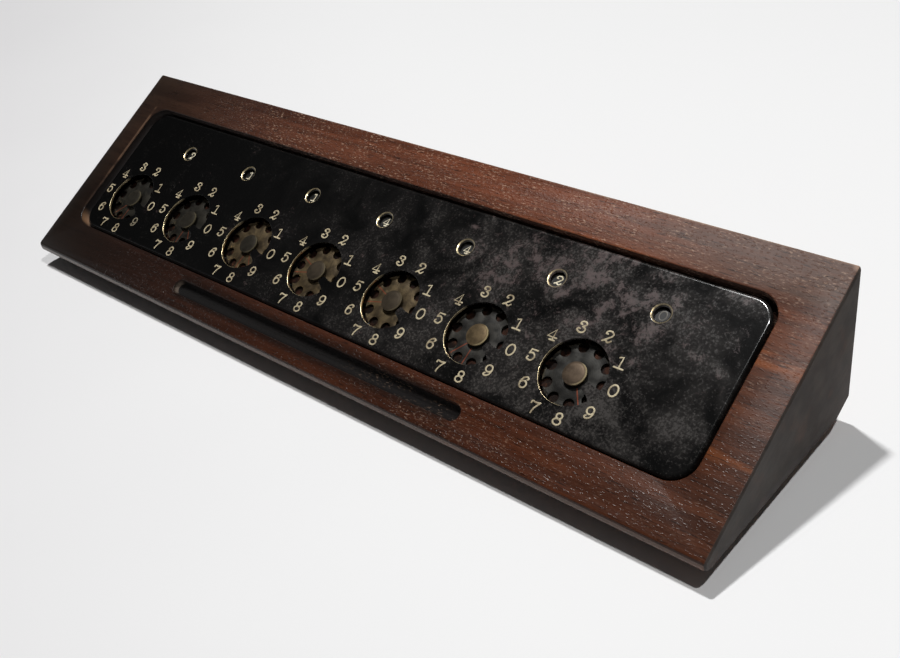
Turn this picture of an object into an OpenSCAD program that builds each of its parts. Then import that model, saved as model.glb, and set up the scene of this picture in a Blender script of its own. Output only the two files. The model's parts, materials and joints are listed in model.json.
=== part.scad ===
// Stylus adding machine: seven notched dials under an enamelled face plate in a
// sloping wooden case on four rubber feet. Millimetres, +Z up, +X along the case
// from left to right, +Y to the back. The origin is on the table under the middle
// of the case.

/* [Case] */
// Angle of the sloping face
slope_angle = 29; // [27:0.5:31]
// Height of the upright front edge
front_h = 4.6; // [4.2:0.1:6]
// Wood left of the plate opening
wood_left = 12.3; // [11.5:0.1:16]
// Wood right of the plate opening
wood_right = 14.9; // [12.5:0.1:20]
// Wood in front of the opening, along the slope
wood_front = 16.7; // [16.2:0.1:18]
// Wood behind the opening, along the slope
wood_back = 16.9; // [15.5:0.1:20]
// Height of the sloping cut under the front edge
front_cut_h = 1.8; // [1:0.1:2.4]
// Depth of the sloping cut under the front edge
front_cut_d = 2.4; // [1:0.1:4]
// Height of the sloping cut under the back edge
chamfer_h = 4.2; // [3:0.2:6]
// Depth of the sloping cut under the back edge
chamfer_d = 8; // [4:0.5:9]
// Radius of the opening's corners
opening_r = 9; // [7:0.5:10]
// Thickness of the wooden ends round the hollow
end_wall = 10; // [8:0.5:11]

/* [Stylus groove] */
// Width of the groove, twice its depth
groove_w = 6.2; // [5.2:0.1:6.6]
// Left end of the groove from the left end of the case
groove_start = 95; // [60:1:110]
// Length of the groove
groove_len = 153; // [120:1:180]
// Groove centre from the front edge, along the slope
groove_s = 9.1; // [7:0.1:10]

/* [Bottom board] */
// Thickness of the board
board_t = 3; // [2.4:0.1:3.2]
// Recess of the board above the wood's underside
board_recess = 0.4; // [0.2:0.1:0.5]
// Wood left of the board at each end
board_inset = 5; // [4:0.5:6]

/* [Feet] */
// Gap between the wood and the table
foot_clear = 6; // [4.5:0.5:8]
// Radius of a foot where it meets the board
foot_r = 6.5; // [5:0.5:8]
// Radius of the stem pushed into the board
foot_stem_r = 2; // [1.6:0.1:2.6]
// Feet from the ends of the case
foot_in = 37.5; // [30:0.5:45]

/* [Face plate] */
// Depth of the plate's face below the wood
plate_drop = 2; // [1.6:0.1:2.4]
// Thickness of the plate
plate_t = 0.9; // [0.7:0.05:1.1]
// Depth of the plate's turned-down rim
rim_depth = 2.5; // [2:0.1:3]
// Rounding of the plate's drawn edge
rim_r = 1.2; // [0.8:0.1:1.5]
// Radius of the plate's corners
plate_r = 8; // [6:0.5:9]
// Gap between plate and wood at the two ends
gap_ends = 2; // [1.2:0.1:2.4]
// Gap between plate and wood in front and behind
gap_sides = 1.1; // [0.8:0.1:1.6]

/* [Dials] */
// Distance from dial to dial
dial_pitch = 40.25; // [40:0.25:42]
// First dial from the plate's left edge
dial_left = 19.5; // [19:0.25:22]
// Last dial to the plate's right edge
dial_right = 50; // [46:0.5:56]
// Dials from the plate's front edge
dial_front = 19.5; // [19.3:0.1:21]
// Dials to the plate's back edge
dial_back = 43.1; // [41:0.1:46]
// Radius of the dial openings
dial_hole_r = 11.9; // [11.5:0.1:12.4]
// Radius of the notched wheels
wheel_r = 11.6; // [11.2:0.1:12]
// Thickness of the notched wheels
wheel_t = 1; // [0.8:0.1:1.2]
// Depth of the wheels below the plate's face
wheel_drop = 2.8; // [2.6:0.1:3.2]
// Radius of a notch
notch_r = 1.95; // [1.6:0.05:2.1]
// Distance of the notches from the wheel's centre
notch_ring_r = 10; // [9.6:0.1:10.3]
// Direction of the notch next to the 0
notch_angle = -2; // [-6:0.5:2]
// Radius of the stud's head
stud_head_r = 4.15; // [3.8:0.05:4.5]
// Depth of the stud's head below the plate's face
head_drop = 0.8; // [0.5:0.1:1]
// Thickness of the stud's head
head_t = 0.9; // [0.7:0.1:1]
// Radius of the stud's shank
stud_r = 2.5; // [2:0.1:2.8]

/* [Stop fingers] */
// Direction of the stop finger, between 9 and 0
stop_angle = -24; // [-30:1:-20]
// Distance of the finger's tip from the dial's centre
stop_tip_r = 6.2; // [5.4:0.1:7]
// Width of the finger at its tip
stop_tip_w = 3.2; // [2.4:0.1:3.6]
// Width of the finger where it leaves the plate
stop_root_w = 5.8; // [4.8:0.1:6.4]

/* [Windows and number wheels] */
// Windows to the right of their dials
window_right = 16.95; // [16.5:0.05:17.5]
// Windows above their dials, along the slope
window_up = 28; // [27.5:0.1:28.5]
// Radius of a window
window_r = 2.7; // [2.4:0.1:3]
// Width of the window's bright bevel
window_bevel = 0.85; // [0.5:0.05:1]
// Distance of the numbers from the number wheel's centre
number_ring_r = 8; // [7.6:0.1:8.4]
// Radius of the number discs
number_disc_r = 10.4; // [10:0.1:11]
// Thickness of the number discs
number_disc_t = 0.6; // [0.4:0.1:0.6]
// Depth of the number discs below the plate's face
number_drop = 1.7; // [1.6:0.1:2.4]
// Radius of the number studs' shanks
number_stud_r = 2; // [1.6:0.1:2.4]

/* [Gears and carrying] */
// Thickness of the gears
gear_t = 1.2; // [1:0.1:1.4]
// Thickness of the ten-pointed detent star
star_t = 0.8; // [0.7:0.1:1]
// Radius of the star's points
star_r = 9.6; // [9.2:0.1:9.8]
// Thickness of the carry finger and the carry lever
finger_t = 0.8; // [0.7:0.1:1]
// Radius of the carry finger's tip
finger_r = 11.5; // [11:0.1:11.7]
// Length of the carry lever from its pivot to its nose
lever_len = 10.5; // [10:0.1:11]
// Thickness of the springs' leaf
leaf_t = 0.35; // [0.25:0.05:0.45]

/* [Movement] */
// Thickness of the movement plate
movement_t = 1.2; // [1:0.1:1.4]
// Radius of the pillars between the plates
pillar_r = 2.5; // [2:0.1:2.6]
// Radius of the pillar screws
screw_r = 1.2; // [1:0.05:1.3]

/* [Hidden] */
$fn = 48;
dials = 7;
digits = 10;
// Numbers shown in the windows, from left to right
shown = [2, 1, 1, 4, 4, 2, 0];
teeth = 20;
gear_add = 0.9;
gear_ded = 1.2;
pressure_angle = 20;
tooth_play = 0.12;
run_fit = 0.05;
end_play = 0.2;
over = 1;

plate_len = dial_left + (dials - 1) * dial_pitch + dial_right;
plate_wid = dial_front + dial_back;
opening_len = plate_len + 2 * gap_ends;
opening_wid = plate_wid + 2 * gap_sides;
case_len = wood_left + opening_len + wood_right;
slope_len = wood_front + opening_wid + wood_back;
case_depth = slope_len * cos(slope_angle);
case_h = front_h + slope_len * sin(slope_angle);

// Heights square to the slope, 0 at the wood's face and falling inwards
face_n = -plate_drop;
under_n = face_n - plate_t;
rim_n = face_n - rim_depth;
head_n = face_n - head_drop;
wheel_n = face_n - wheel_drop;
gear_n = wheel_n - wheel_t;
star_n = gear_n - gear_t;
finger_n = star_n - star_t;
boss_n = finger_n - finger_t - end_play;
movement_n = boss_n - end_play;
movement_under_n = movement_n - movement_t;
disc_n = face_n - number_drop;
tail_n = movement_under_n - 0.8;

// Plate, dials and number wheels along the case and up the slope
plate_u = wood_left + gap_ends;
plate_s = wood_front + gap_sides;
dial_u = plate_u + dial_left;
dial_s = plate_s + dial_front;

// The plate is one sheet of brass, drawn in four lengths with a hairline between them,
// each to the right of the window that follows these dials
plate_cuts = [2, 4, 6];
plate_cut_right = window_right + window_r + window_bevel + 2;
plate_cut_w = 0.04;

number_up = window_up - number_ring_r;
axle_gap = norm([window_right, number_up]);
mesh_angle = atan2(number_up, window_right);
gear_r = axle_gap / 2;
module_mm = 2 * gear_r / teeth;
hub_r = stud_r + 0.9;
number_hub_r = number_stud_r + 1.2;

// The hole through the wood under the plate, and the hollow below it
ledge_w = 2.2;
aperture_len = plate_len - 2 * ledge_w;
aperture_wid = plate_wid - ledge_w - 3.4;
aperture_s = plate_s + ledge_w;
movement_lap = 4;
movement_r = 4;
movement_len = aperture_len + 2 * movement_lap;
movement_s = aperture_s - 1.4;
movement_wid = aperture_wid + 1.4 + 2.6;
board_bottom = foot_clear + board_recess;
board_top = board_bottom + board_t;
board_y = 12;
board_back = 4;
board_depth = case_depth - board_y - chamfer_d - board_back;
board_land = 8;

// The carry finger, and the carry lever's pivot, nose and tail, round the dial that kicks it
finger_w = 2.4;
nose_r = 0.55;
nose_gap = 0.35;
tooth_step = 360 / teeth;
nose_angle = mesh_angle - 2.5 * tooth_step;
tip_r = gear_r + gear_add * module_mm;
nose_dist = tip_r + nose_gap + nose_r;
nose_at = [-dial_pitch, 0] + nose_dist * [cos(nose_angle), sin(nose_angle)];
pivot_at = nose_at + lever_len * [sin(nose_angle), -cos(nose_angle)];
tail_angle = 168;
tail_r = finger_r + 1.4;
tail_at = tail_r * [cos(tail_angle), sin(tail_angle)];
lever_stud_r = 1.5;
lever_hub_r = 2.8;
arm_w = 2;

// Places of the pillars round the dial grid: column, right of the dial, above it
high_pillar = [window_right + dial_pitch / 2, number_up + 6.5];
low_pillar = [18.5, -14.5];
high_columns = [0, 2, 5, 7];
low_columns = [1, 3, 5, 7];
pillar_hole = 4.5;
screw_head_r = 2.4;
screw_head_t = 1;
wood_screw_r = 1.2;
wood_screw_len = 3;
wood_screw_in = 10;
board_screw_r = 1.15;
board_screw_len = 7.3;
board_screw_head_r = 2.4;
board_screw_front = 4;
board_screw_back = 3.5;
screw_hole_gap = 0.2;
foot_front = 10;
foot_back = 8;

// Spring feet and leaves, round the same dial as the lever
foot = [3, 2.4];
detent_foot = [-12.4, -12];
detent_nose = 0.4;
valley_r = star_r - 1.1;
spring_set_back = [-7, -3.6];
spring_foot = pivot_at + spring_set_back;
spring_touch = 6;
lever_dir = [-sin(nose_angle), cos(nose_angle)];
lever_left = [-cos(nose_angle), -sin(nose_angle)];
spring_tip = pivot_at + spring_touch * lever_dir + (arm_w / 2 + 0.3 + leaf_t / 2) * lever_left;
spring_screw_r = 0.7;
spring_screw_head_r = 1.4;
spring_screw_head_t = 0.7;
spring_screw_in = 0.2;

// Side view of a point: distance back from the front face, height above the table
function side_view(s, n) = [
    s * cos(slope_angle) - n * sin(slope_angle),
    foot_clear + front_h + s * sin(slope_angle) + n * cos(slope_angle)
];

function polar(r, angle) = r * [cos(angle), sin(angle)];

// Turn of a flank's point from the tooth's root on the base circle, in degrees
function involute(base_r, r) =
    let (a = acos(min(1, base_r / r)))
    tan(a) * 180 / PI - a;

function tooth_half(base_r, r) =
    90 / teeth
    - tooth_play / 2 / gear_r * 180 / PI
    + involute(base_r, gear_r)
    - involute(base_r, r);

function tooth_points(centre, base_r, root_r) =
    let (
        steps = 4,
        radii = [for (k = [0 : steps]) base_r + (tip_r - base_r) * k / steps],
        halves = [for (r = radii) tooth_half(base_r, r)]
    )
    concat(
        [polar(root_r, centre - halves[0])],
        [for (k = [0 : steps]) polar(radii[k], centre - halves[k])],
        [for (k = [steps : -1 : 0]) polar(radii[k], centre + halves[k])],
        [polar(root_r, centre + halves[0])]
    );

module on_slope() {
    translate([-case_len / 2, -case_depth / 2, foot_clear + front_h])
    rotate([slope_angle, 0, 0])
    children();
}

module at_dial(i) {
    on_slope()
    translate([dial_u + (i - 1) * dial_pitch, dial_s, 0])
    children();
}

module at_number(i) {
    at_dial(i)
    translate([window_right, number_up, 0])
    children();
}

// The lever of this number stands left of the dial that kicks it
module at_lever(i) {
    at_dial(i + 1)
    children();
}

module slab(top, bottom) {
    translate([0, 0, bottom])
    linear_extrude(top - bottom)
    children();
}

module peg(r, top, bottom) {
    translate([0, 0, bottom])
    cylinder(r = r, h = top - bottom);
}

module rounded(length, width, r) {
    translate([r, 0])
    square([length - 2 * r, width]);
    translate([0, r])
    square([length, width - 2 * r]);
    for (x = [r, length - r], y = [r, width - r]) {
        translate([x, y])
        circle(r);
    }
}

module bar(from, to, width) {
    way = to - from;
    translate(from)
    rotate(atan2(way[1], way[0]))
    translate([0, -width / 2])
    square([norm(way), width]);
    for (end = [from, to]) {
        translate(end)
        circle(width / 2);
    }
}

module all_pillars() {
    for (i = high_columns) {
        at_dial(i)
        translate(high_pillar)
        children();
    }
    for (i = low_columns) {
        at_dial(i)
        translate(low_pillar)
        children();
    }
}

module all_dials() {
    for (i = [1 : dials]) {
        at_dial(i)
        children();
    }
}

module all_numbers() {
    for (i = [1 : dials]) {
        at_number(i)
        children();
    }
}

module all_levers() {
    for (i = [1 : dials - 1]) {
        at_lever(i)
        translate(pivot_at)
        children();
    }
}

module all_spring_feet() {
    for (i = [1 : dials]) {
        at_dial(i)
        translate(detent_foot)
        children();
    }
    for (i = [1 : dials - 1]) {
        at_lever(i)
        translate(spring_foot)
        children();
    }
}

module all_wood_screws() {
    on_slope()
    for (
        u = [plate_u + ledge_w - 2, plate_u + plate_len - ledge_w + 2],
        s = [
            aperture_s + wood_screw_in,
            aperture_s + aperture_wid / 2,
            aperture_s + aperture_wid - wood_screw_in
        ]
    ) {
        translate([u, s, 0])
        children();
    }
}

module all_board_screws() {
    for (
        x = [-0.44, -0.15, 0.15, 0.44],
        y = [board_y + board_screw_front, board_y + board_depth - board_screw_back]
    ) {
        translate([x * case_len, y - case_depth / 2, foot_clear])
        children();
    }
}

module all_feet() {
    for (
        x = [foot_in - case_len / 2, case_len / 2 - foot_in],
        y = [board_y + foot_front, board_y + board_depth - foot_back]
    ) {
        translate([x, y - case_depth / 2, 0])
        children();
    }
}

module case_blank() {
    translate([-case_len / 2, -case_depth / 2, foot_clear])
    rotate([90, 0, 90])
    linear_extrude(case_len)
    polygon([
        [front_cut_d, 0],
        [case_depth - chamfer_d, 0],
        [case_depth, chamfer_h],
        [case_depth, case_h],
        [0, front_h],
        [0, front_cut_h]
    ]);
}

module case_hollow() {
    front = side_view(movement_s - 1.1, movement_n);
    back = side_view(movement_s + movement_wid + 2.2, movement_n);
    translate([end_wall - case_len / 2, -case_depth / 2, 0])
    rotate([90, 0, 90])
    linear_extrude(case_len - 2 * end_wall)
    polygon([
        [front[0], board_bottom],
        [board_y + board_depth - board_land, board_bottom],
        [board_y + board_depth - board_land, board_top],
        back,
        front
    ]);
}

module stylus_groove() {
    r = groove_w / 2;
    translate([groove_start + r, groove_s, 0])
    rotate([0, 90, 0])
    cylinder(r = r, h = groove_len - groove_w);
    for (u = [groove_start + r, groove_start + groove_len - r]) {
        translate([u, groove_s, 0])
        sphere(r);
    }
}

module wooden_case() {
    color("saddlebrown")
    difference() {
        case_blank();
        case_hollow();
        translate([board_inset - case_len / 2 - 0.2, board_y - case_depth / 2 - 0.2, 0])
        cube([case_len - 2 * board_inset + 0.4, board_depth + 0.4, board_top]);
        on_slope() {
            slab(over, rim_n)
            translate([wood_left, wood_front])
            rounded(opening_len, opening_wid, opening_r);
            slab(rim_n + over, movement_n - 0.3)
            translate([plate_u + ledge_w, aperture_s])
            rounded(aperture_len, aperture_wid, opening_r - ledge_w);
            stylus_groove();
        }
        all_wood_screws()
        peg(wood_screw_r + 0.1, movement_n + wood_screw_len + 0.3, movement_n - 0.3);
        all_board_screws()
        peg(board_screw_r + 0.05, board_screw_len + 0.2, 0);
    }
}

module bottom_board() {
    color("burlywood")
    difference() {
        translate([board_inset - case_len / 2, board_y - case_depth / 2, board_bottom])
        cube([case_len - 2 * board_inset, board_depth, board_t]);
        all_board_screws() {
            peg(board_screw_r + screw_hole_gap, board_recess + board_t + over, 0);
            translate([0, 0, board_recess - 0.1])
            cylinder(
                r1 = board_screw_head_r + 0.3,
                r2 = board_screw_r + screw_hole_gap,
                h = board_screw_head_r - board_screw_r + 0.2
            );
        }
        all_feet()
        peg(foot_stem_r + run_fit, board_top + over, 0);
    }
}

module case_feet() {
    color("dimgray")
    all_feet() {
        cylinder(r1 = foot_r - 1, r2 = foot_r, h = board_bottom);
        peg(foot_stem_r, board_top, board_bottom - over);
    }
}

module bottom_screws() {
    color("goldenrod")
    all_board_screws()
    difference() {
        union() {
            peg(board_screw_r, board_screw_len, board_recess + 0.1);
            translate([0, 0, board_recess + 0.1])
            cylinder(
                r1 = board_screw_head_r,
                r2 = board_screw_r,
                h = board_screw_head_r - board_screw_r
            );
        }
        translate([-board_screw_head_r - over, -0.3, 0])
        cube([2 * board_screw_head_r + 2 * over, 0.6, board_recess + 0.6]);
    }
}

module drawn_pan() {
    low_n = face_n - rim_r;
    slab(low_n, rim_n)
    rounded(plate_len, plate_wid, plate_r);
    slab(face_n, rim_n)
    translate([rim_r, rim_r])
    rounded(plate_len - 2 * rim_r, plate_wid - 2 * rim_r, plate_r - rim_r);
    for (s = [rim_r, plate_wid - rim_r]) {
        translate([plate_r, s, low_n])
        rotate([0, 90, 0])
        cylinder(r = rim_r, h = plate_len - 2 * plate_r);
    }
    for (u = [rim_r, plate_len - rim_r]) {
        translate([u, plate_r, low_n])
        rotate([-90, 0, 0])
        cylinder(r = rim_r, h = plate_wid - 2 * plate_r);
    }
    for (u = [plate_r, plate_len - plate_r], s = [plate_r, plate_wid - plate_r]) {
        translate([u, s, low_n])
        rotate_extrude()
        translate([plate_r - rim_r, 0])
        circle(rim_r);
    }
}

// The finger of plate that stops the stylus, with a flared root
module stop_finger() {
    root_r = dial_hole_r + over;
    tip = stop_tip_w / 2;
    root = stop_root_w / 2;
    rotate(stop_angle)
    polygon([
        [stop_tip_r, -tip + 0.6],
        [stop_tip_r + 0.6, -tip],
        [dial_hole_r - 2.6, -tip - 0.2],
        [dial_hole_r - 1, (-tip - root) / 2],
        [root_r, -root - 0.6],
        [root_r, root + 0.6],
        [dial_hole_r - 1, (tip + root) / 2],
        [dial_hole_r - 2.6, tip + 0.2],
        [stop_tip_r + 0.6, tip],
        [stop_tip_r, tip - 0.6]
    ]);
}

module dial_opening() {
    slab(face_n + over, under_n - over)
    difference() {
        circle(dial_hole_r);
        stop_finger();
    }
}

module window_opening() {
    bevel_t = 0.6;
    peg(window_r, face_n + over, under_n - over);
    translate([0, 0, face_n - bevel_t])
    cylinder(r1 = window_r, r2 = window_r + window_bevel, h = bevel_t);
}

module face_plate() {
    color("dimgray")
    difference() {
        on_slope()
        translate([plate_u, plate_s, 0])
        drawn_pan();
        on_slope()
        translate([plate_u + plate_t, plate_s + plate_t, 0])
        slab(under_n, rim_n - over)
        rounded(plate_len - 2 * plate_t, plate_wid - 2 * plate_t, plate_r - plate_t);
        all_dials()
        dial_opening();
        all_dials()
        translate([window_right, window_up, 0])
        window_opening();
        for (i = plate_cuts) {
            at_dial(i)
            translate([plate_cut_right, -dial_front - over, rim_n - over])
            cube([plate_cut_w, plate_wid + 2 * over, rim_depth + 2 * over]);
        }
    }
}

module plate_pillars() {
    color("silver")
    all_pillars()
    difference() {
        peg(pillar_r, under_n, movement_n);
        peg(screw_r + run_fit, movement_n + pillar_hole, movement_n - over);
    }
}

module slotted_screw(r, top, head_top, head_r, head_t, slot) {
    difference() {
        union() {
            peg(r, top, head_top - head_t);
            peg(head_r, head_top, head_top - head_t);
        }
        translate([-head_r - over, -slot / 2, head_top - head_t - over])
        cube([2 * head_r + 2 * over, slot, over + head_t / 2]);
    }
}

module pillar_screws() {
    color("slategray")
    all_pillars()
    slotted_screw(screw_r, movement_n + 4, movement_under_n, screw_head_r, screw_head_t, 0.6);
}

module movement_screws() {
    color("slategray")
    all_wood_screws()
    slotted_screw(
        wood_screw_r, movement_n + wood_screw_len,
        movement_under_n, screw_head_r, screw_head_t, 0.6
    );
}

module spring_screws() {
    color("slategray")
    all_spring_feet()
    slotted_screw(
        spring_screw_r, boss_n + spring_screw_in,
        movement_under_n, spring_screw_head_r, spring_screw_head_t, 0.4
    );
}

module movement_plate() {
    color("lightsteelblue")
    difference() {
        on_slope()
        translate([plate_u + ledge_w - movement_lap, movement_s, 0])
        slab(movement_n, movement_under_n)
        rounded(movement_len, movement_wid, movement_r);
        all_dials()
        peg(1.65, movement_n + over, movement_under_n - over);
        all_numbers()
        peg(1.35, movement_n + over, movement_under_n - over);
        all_levers()
        peg(0.95, movement_n + over, movement_under_n - over);
        all_pillars()
        peg(screw_r + 0.15, movement_n + over, movement_under_n - over);
        all_wood_screws()
        peg(wood_screw_r + 0.15, movement_n + over, movement_under_n - over);
        all_spring_feet()
        peg(spring_screw_r + 0.1, movement_n + over, movement_under_n - over);
    }
}

// A shouldered stud, its tail riveted over under the movement plate
module shouldered_stud(head_r, head_top, head_thick, shank_r, tail_r) {
    peg(head_r, head_top, head_top - head_thick);
    peg(shank_r, head_top - head_thick / 2, movement_n);
    peg(tail_r, movement_n + 0.5, tail_n);
    peg(tail_r + 0.6, movement_under_n, tail_n);
}

module dial_studs() {
    color("darkkhaki")
    all_dials()
    shouldered_stud(stud_head_r, head_n, head_t, stud_r, 1.6);
}

module number_studs() {
    head_top = under_n - end_play;
    color("silver")
    all_numbers()
    shouldered_stud(
        number_stud_r + 1, head_top, head_top - disc_n - end_play, number_stud_r, 1.3
    );
}

module lever_studs() {
    color("silver")
    all_levers()
    shouldered_stud(lever_stud_r + 0.8, finger_n + 0.5, 0.4, lever_stud_r, 0.9);
}

module dial_wheel(i) {
    color("peru")
    at_dial(i)
    difference() {
        union() {
            slab(wheel_n, gear_n)
            circle(wheel_r);
            peg(hub_r, head_n - head_t - end_play, gear_n);
        }
        for (k = [0 : digits - 1]) {
            translate(polar(notch_ring_r, notch_angle + k * 360 / digits))
            peg(notch_r, wheel_n + over, gear_n - over);
        }
        peg(stud_r + run_fit, 0, gear_n - over);
    }
}

module gear_shape(first_tooth) {
    base_r = gear_r * cos(pressure_angle);
    root_r = gear_r - gear_ded * module_mm;
    polygon([
        for (k = [0 : teeth - 1])
            each tooth_points(first_tooth + k * tooth_step, base_r, root_r)
    ]);
}

module star_shape() {
    half = 180 / digits;
    polygon([
        for (k = [0 : digits - 1])
            each [polar(valley_r, 2 * half * k - 90), polar(star_r, 2 * half * k + half - 90)]
    ]);
}

module dial_gear(i) {
    finger_angle = tail_angle - 18 - shown[i - 1] * 360 / digits;
    color("goldenrod")
    at_dial(i)
    difference() {
        union() {
            slab(gear_n, star_n)
            gear_shape(mesh_angle);
            slab(star_n + gear_t / 2, finger_n)
            star_shape();
            rotate(finger_angle + 180)
            peg(hub_r + 1.2, gear_n, boss_n);
            slab(finger_n, finger_n - finger_t)
            bar([0, 0], polar(finger_r - finger_w / 2, finger_angle), finger_w);
        }
        peg(stud_r + run_fit, gear_n + over, boss_n - over);
    }
}

module number_gear(i) {
    color("goldenrod")
    at_number(i)
    difference() {
        union() {
            slab(gear_n, star_n)
            gear_shape(mesh_angle + 180 + tooth_step / 2);
            peg(number_hub_r, disc_n - number_disc_t, boss_n);
        }
        peg(number_stud_r + run_fit, 0, boss_n - over);
    }
}

module number_disc(i) {
    color("black")
    at_number(i)
    difference() {
        peg(number_disc_r, disc_n, disc_n - number_disc_t);
        peg(number_stud_r + run_fit, 0, disc_n - 2);
    }
}

module carry_lever(i) {
    top_n = finger_n - 0.1;
    color("steelblue")
    at_lever(i)
    difference() {
        union() {
            slab(top_n, finger_n - finger_t) {
                bar(pivot_at, nose_at, arm_w);
                bar(pivot_at, tail_at, arm_w);
            }
            translate(pivot_at)
            peg(lever_hub_r, top_n, boss_n);
            translate(nose_at)
            peg(nose_r, gear_n - 0.2, finger_n - finger_t);
        }
        translate(pivot_at)
        peg(lever_stud_r + run_fit, 0, boss_n - over);
    }
}

module detent_spring(i) {
    low = -valley_r - detent_nose;
    color("lightgray")
    at_dial(i) {
        slab(star_n - 0.1, finger_n + 0.1) {
            bar(detent_foot, [-1.5, low - 1.6], leaf_t);
            bar([-1.5, low - 1.6], [0, low - leaf_t / 2], leaf_t);
            bar([0, low - leaf_t / 2], [1.5, low - 1.6], leaf_t);
            bar([1.5, low - 1.6], [3.2, low - 1.7], leaf_t);
        }
        difference() {
            translate(detent_foot)
            slab(star_n - 0.1, movement_n)
            square(foot, center = true);
            translate(detent_foot)
            peg(spring_screw_r + run_fit, boss_n + spring_screw_in, movement_n - over);
        }
    }
}

module carry_spring(i) {
    color("lightgray")
    at_lever(i) {
        slab(finger_n - 0.1, finger_n - finger_t + 0.1)
        bar(spring_foot, spring_tip, leaf_t);
        difference() {
            translate(spring_foot)
            slab(finger_n - 0.1, movement_n)
            square(foot, center = true);
            translate(spring_foot)
            peg(spring_screw_r + run_fit, boss_n + spring_screw_in, movement_n - over);
        }
    }
}

wooden_case();
bottom_board();
bottom_screws();
case_feet();
face_plate();
plate_pillars();
movement_plate();
movement_screws();
pillar_screws();
dial_studs();
number_studs();
lever_studs();
spring_screws();
dial_wheel(1);  // dial_wheel_1
dial_wheel(2);  // dial_wheel_2
dial_wheel(3);  // dial_wheel_3
dial_wheel(4);  // dial_wheel_4
dial_wheel(5);  // dial_wheel_5
dial_wheel(6);  // dial_wheel_6
dial_wheel(7);  // dial_wheel_7
dial_gear(1);  // dial_gear_1
dial_gear(2);  // dial_gear_2
dial_gear(3);  // dial_gear_3
dial_gear(4);  // dial_gear_4
dial_gear(5);  // dial_gear_5
dial_gear(6);  // dial_gear_6
dial_gear(7);  // dial_gear_7
number_gear(1);  // number_gear_1
number_gear(2);  // number_gear_2
number_gear(3);  // number_gear_3
number_gear(4);  // number_gear_4
number_gear(5);  // number_gear_5
number_gear(6);  // number_gear_6
number_gear(7);  // number_gear_7
number_disc(1);  // number_disc_1
number_disc(2);  // number_disc_2
number_disc(3);  // number_disc_3
number_disc(4);  // number_disc_4
number_disc(5);  // number_disc_5
number_disc(6);  // number_disc_6
number_disc(7);  // number_disc_7
carry_lever(1);  // carry_lever_1
carry_lever(2);  // carry_lever_2
carry_lever(3);  // carry_lever_3
carry_lever(4);  // carry_lever_4
carry_lever(5);  // carry_lever_5
carry_lever(6);  // carry_lever_6
detent_spring(1);  // detent_spring_1
detent_spring(2);  // detent_spring_2
detent_spring(3);  // detent_spring_3
detent_spring(4);  // detent_spring_4
detent_spring(5);  // detent_spring_5
detent_spring(6);  // detent_spring_6
detent_spring(7);  // detent_spring_7
carry_spring(1);  // carry_spring_1
carry_spring(2);  // carry_spring_2
carry_spring(3);  // carry_spring_3
carry_spring(4);  // carry_spring_4
carry_spring(5);  // carry_spring_5
carry_spring(6);  // carry_spring_6
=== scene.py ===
# %% [markdown]
# # Dressing a stylus adding machine
#
# The machine is a sloping block of varnished mahogany with a black enamelled brass
# plate let into it. Seven notched dials turn under the plate, and seven small
# windows above them show the sum. The packed model already holds every piece at its
# true place, so this lesson adds what a solid can't carry: rounded edges, figures,
# turned heads, and a finish for each surface.

import json
import math

import bmesh
import bpy
from mathutils import Matrix, Vector


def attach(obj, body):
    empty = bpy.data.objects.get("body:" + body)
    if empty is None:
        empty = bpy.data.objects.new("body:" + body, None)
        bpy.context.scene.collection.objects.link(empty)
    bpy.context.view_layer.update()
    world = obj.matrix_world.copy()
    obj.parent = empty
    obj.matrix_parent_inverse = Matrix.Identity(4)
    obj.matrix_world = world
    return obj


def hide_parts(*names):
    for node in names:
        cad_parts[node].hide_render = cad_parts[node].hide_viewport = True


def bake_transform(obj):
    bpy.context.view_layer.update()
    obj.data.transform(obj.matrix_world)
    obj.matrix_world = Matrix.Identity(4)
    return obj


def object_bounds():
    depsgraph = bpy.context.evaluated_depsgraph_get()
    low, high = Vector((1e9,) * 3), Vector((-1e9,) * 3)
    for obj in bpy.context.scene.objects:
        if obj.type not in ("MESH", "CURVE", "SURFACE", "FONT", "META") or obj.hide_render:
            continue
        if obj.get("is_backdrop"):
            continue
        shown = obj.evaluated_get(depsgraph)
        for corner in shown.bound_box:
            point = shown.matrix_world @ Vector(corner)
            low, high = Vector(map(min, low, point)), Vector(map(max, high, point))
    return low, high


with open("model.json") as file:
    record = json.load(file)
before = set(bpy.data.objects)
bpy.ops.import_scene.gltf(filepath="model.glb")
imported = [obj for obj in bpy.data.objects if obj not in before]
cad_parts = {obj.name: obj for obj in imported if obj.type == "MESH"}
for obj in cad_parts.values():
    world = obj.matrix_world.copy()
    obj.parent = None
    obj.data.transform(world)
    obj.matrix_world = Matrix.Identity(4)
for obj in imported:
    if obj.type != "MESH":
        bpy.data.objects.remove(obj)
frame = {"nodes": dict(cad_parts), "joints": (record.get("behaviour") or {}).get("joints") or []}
nodes = frame["nodes"]
cad_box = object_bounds()
MM = 0.001

# %% [markdown]
# Nearly everything on the machine lies on a slope of 29 degrees. Working in tilted
# coordinates by hand would be tiresome, so the slope gets a frame of its own: u runs
# along the case, s climbs the slope, n stands out of it, all in millimetres from the
# front left corner. The first dial's joint fixes the frame: its axis is the slope's
# normal, and its place is known on the drawing. From each dial the number axle lies
# 16.95 mm to the right and 20 mm up the slope, the window 28 mm up. The plate's face
# is 2 mm below the wood's, and the feet hold the case 6 mm clear of the table.

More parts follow.
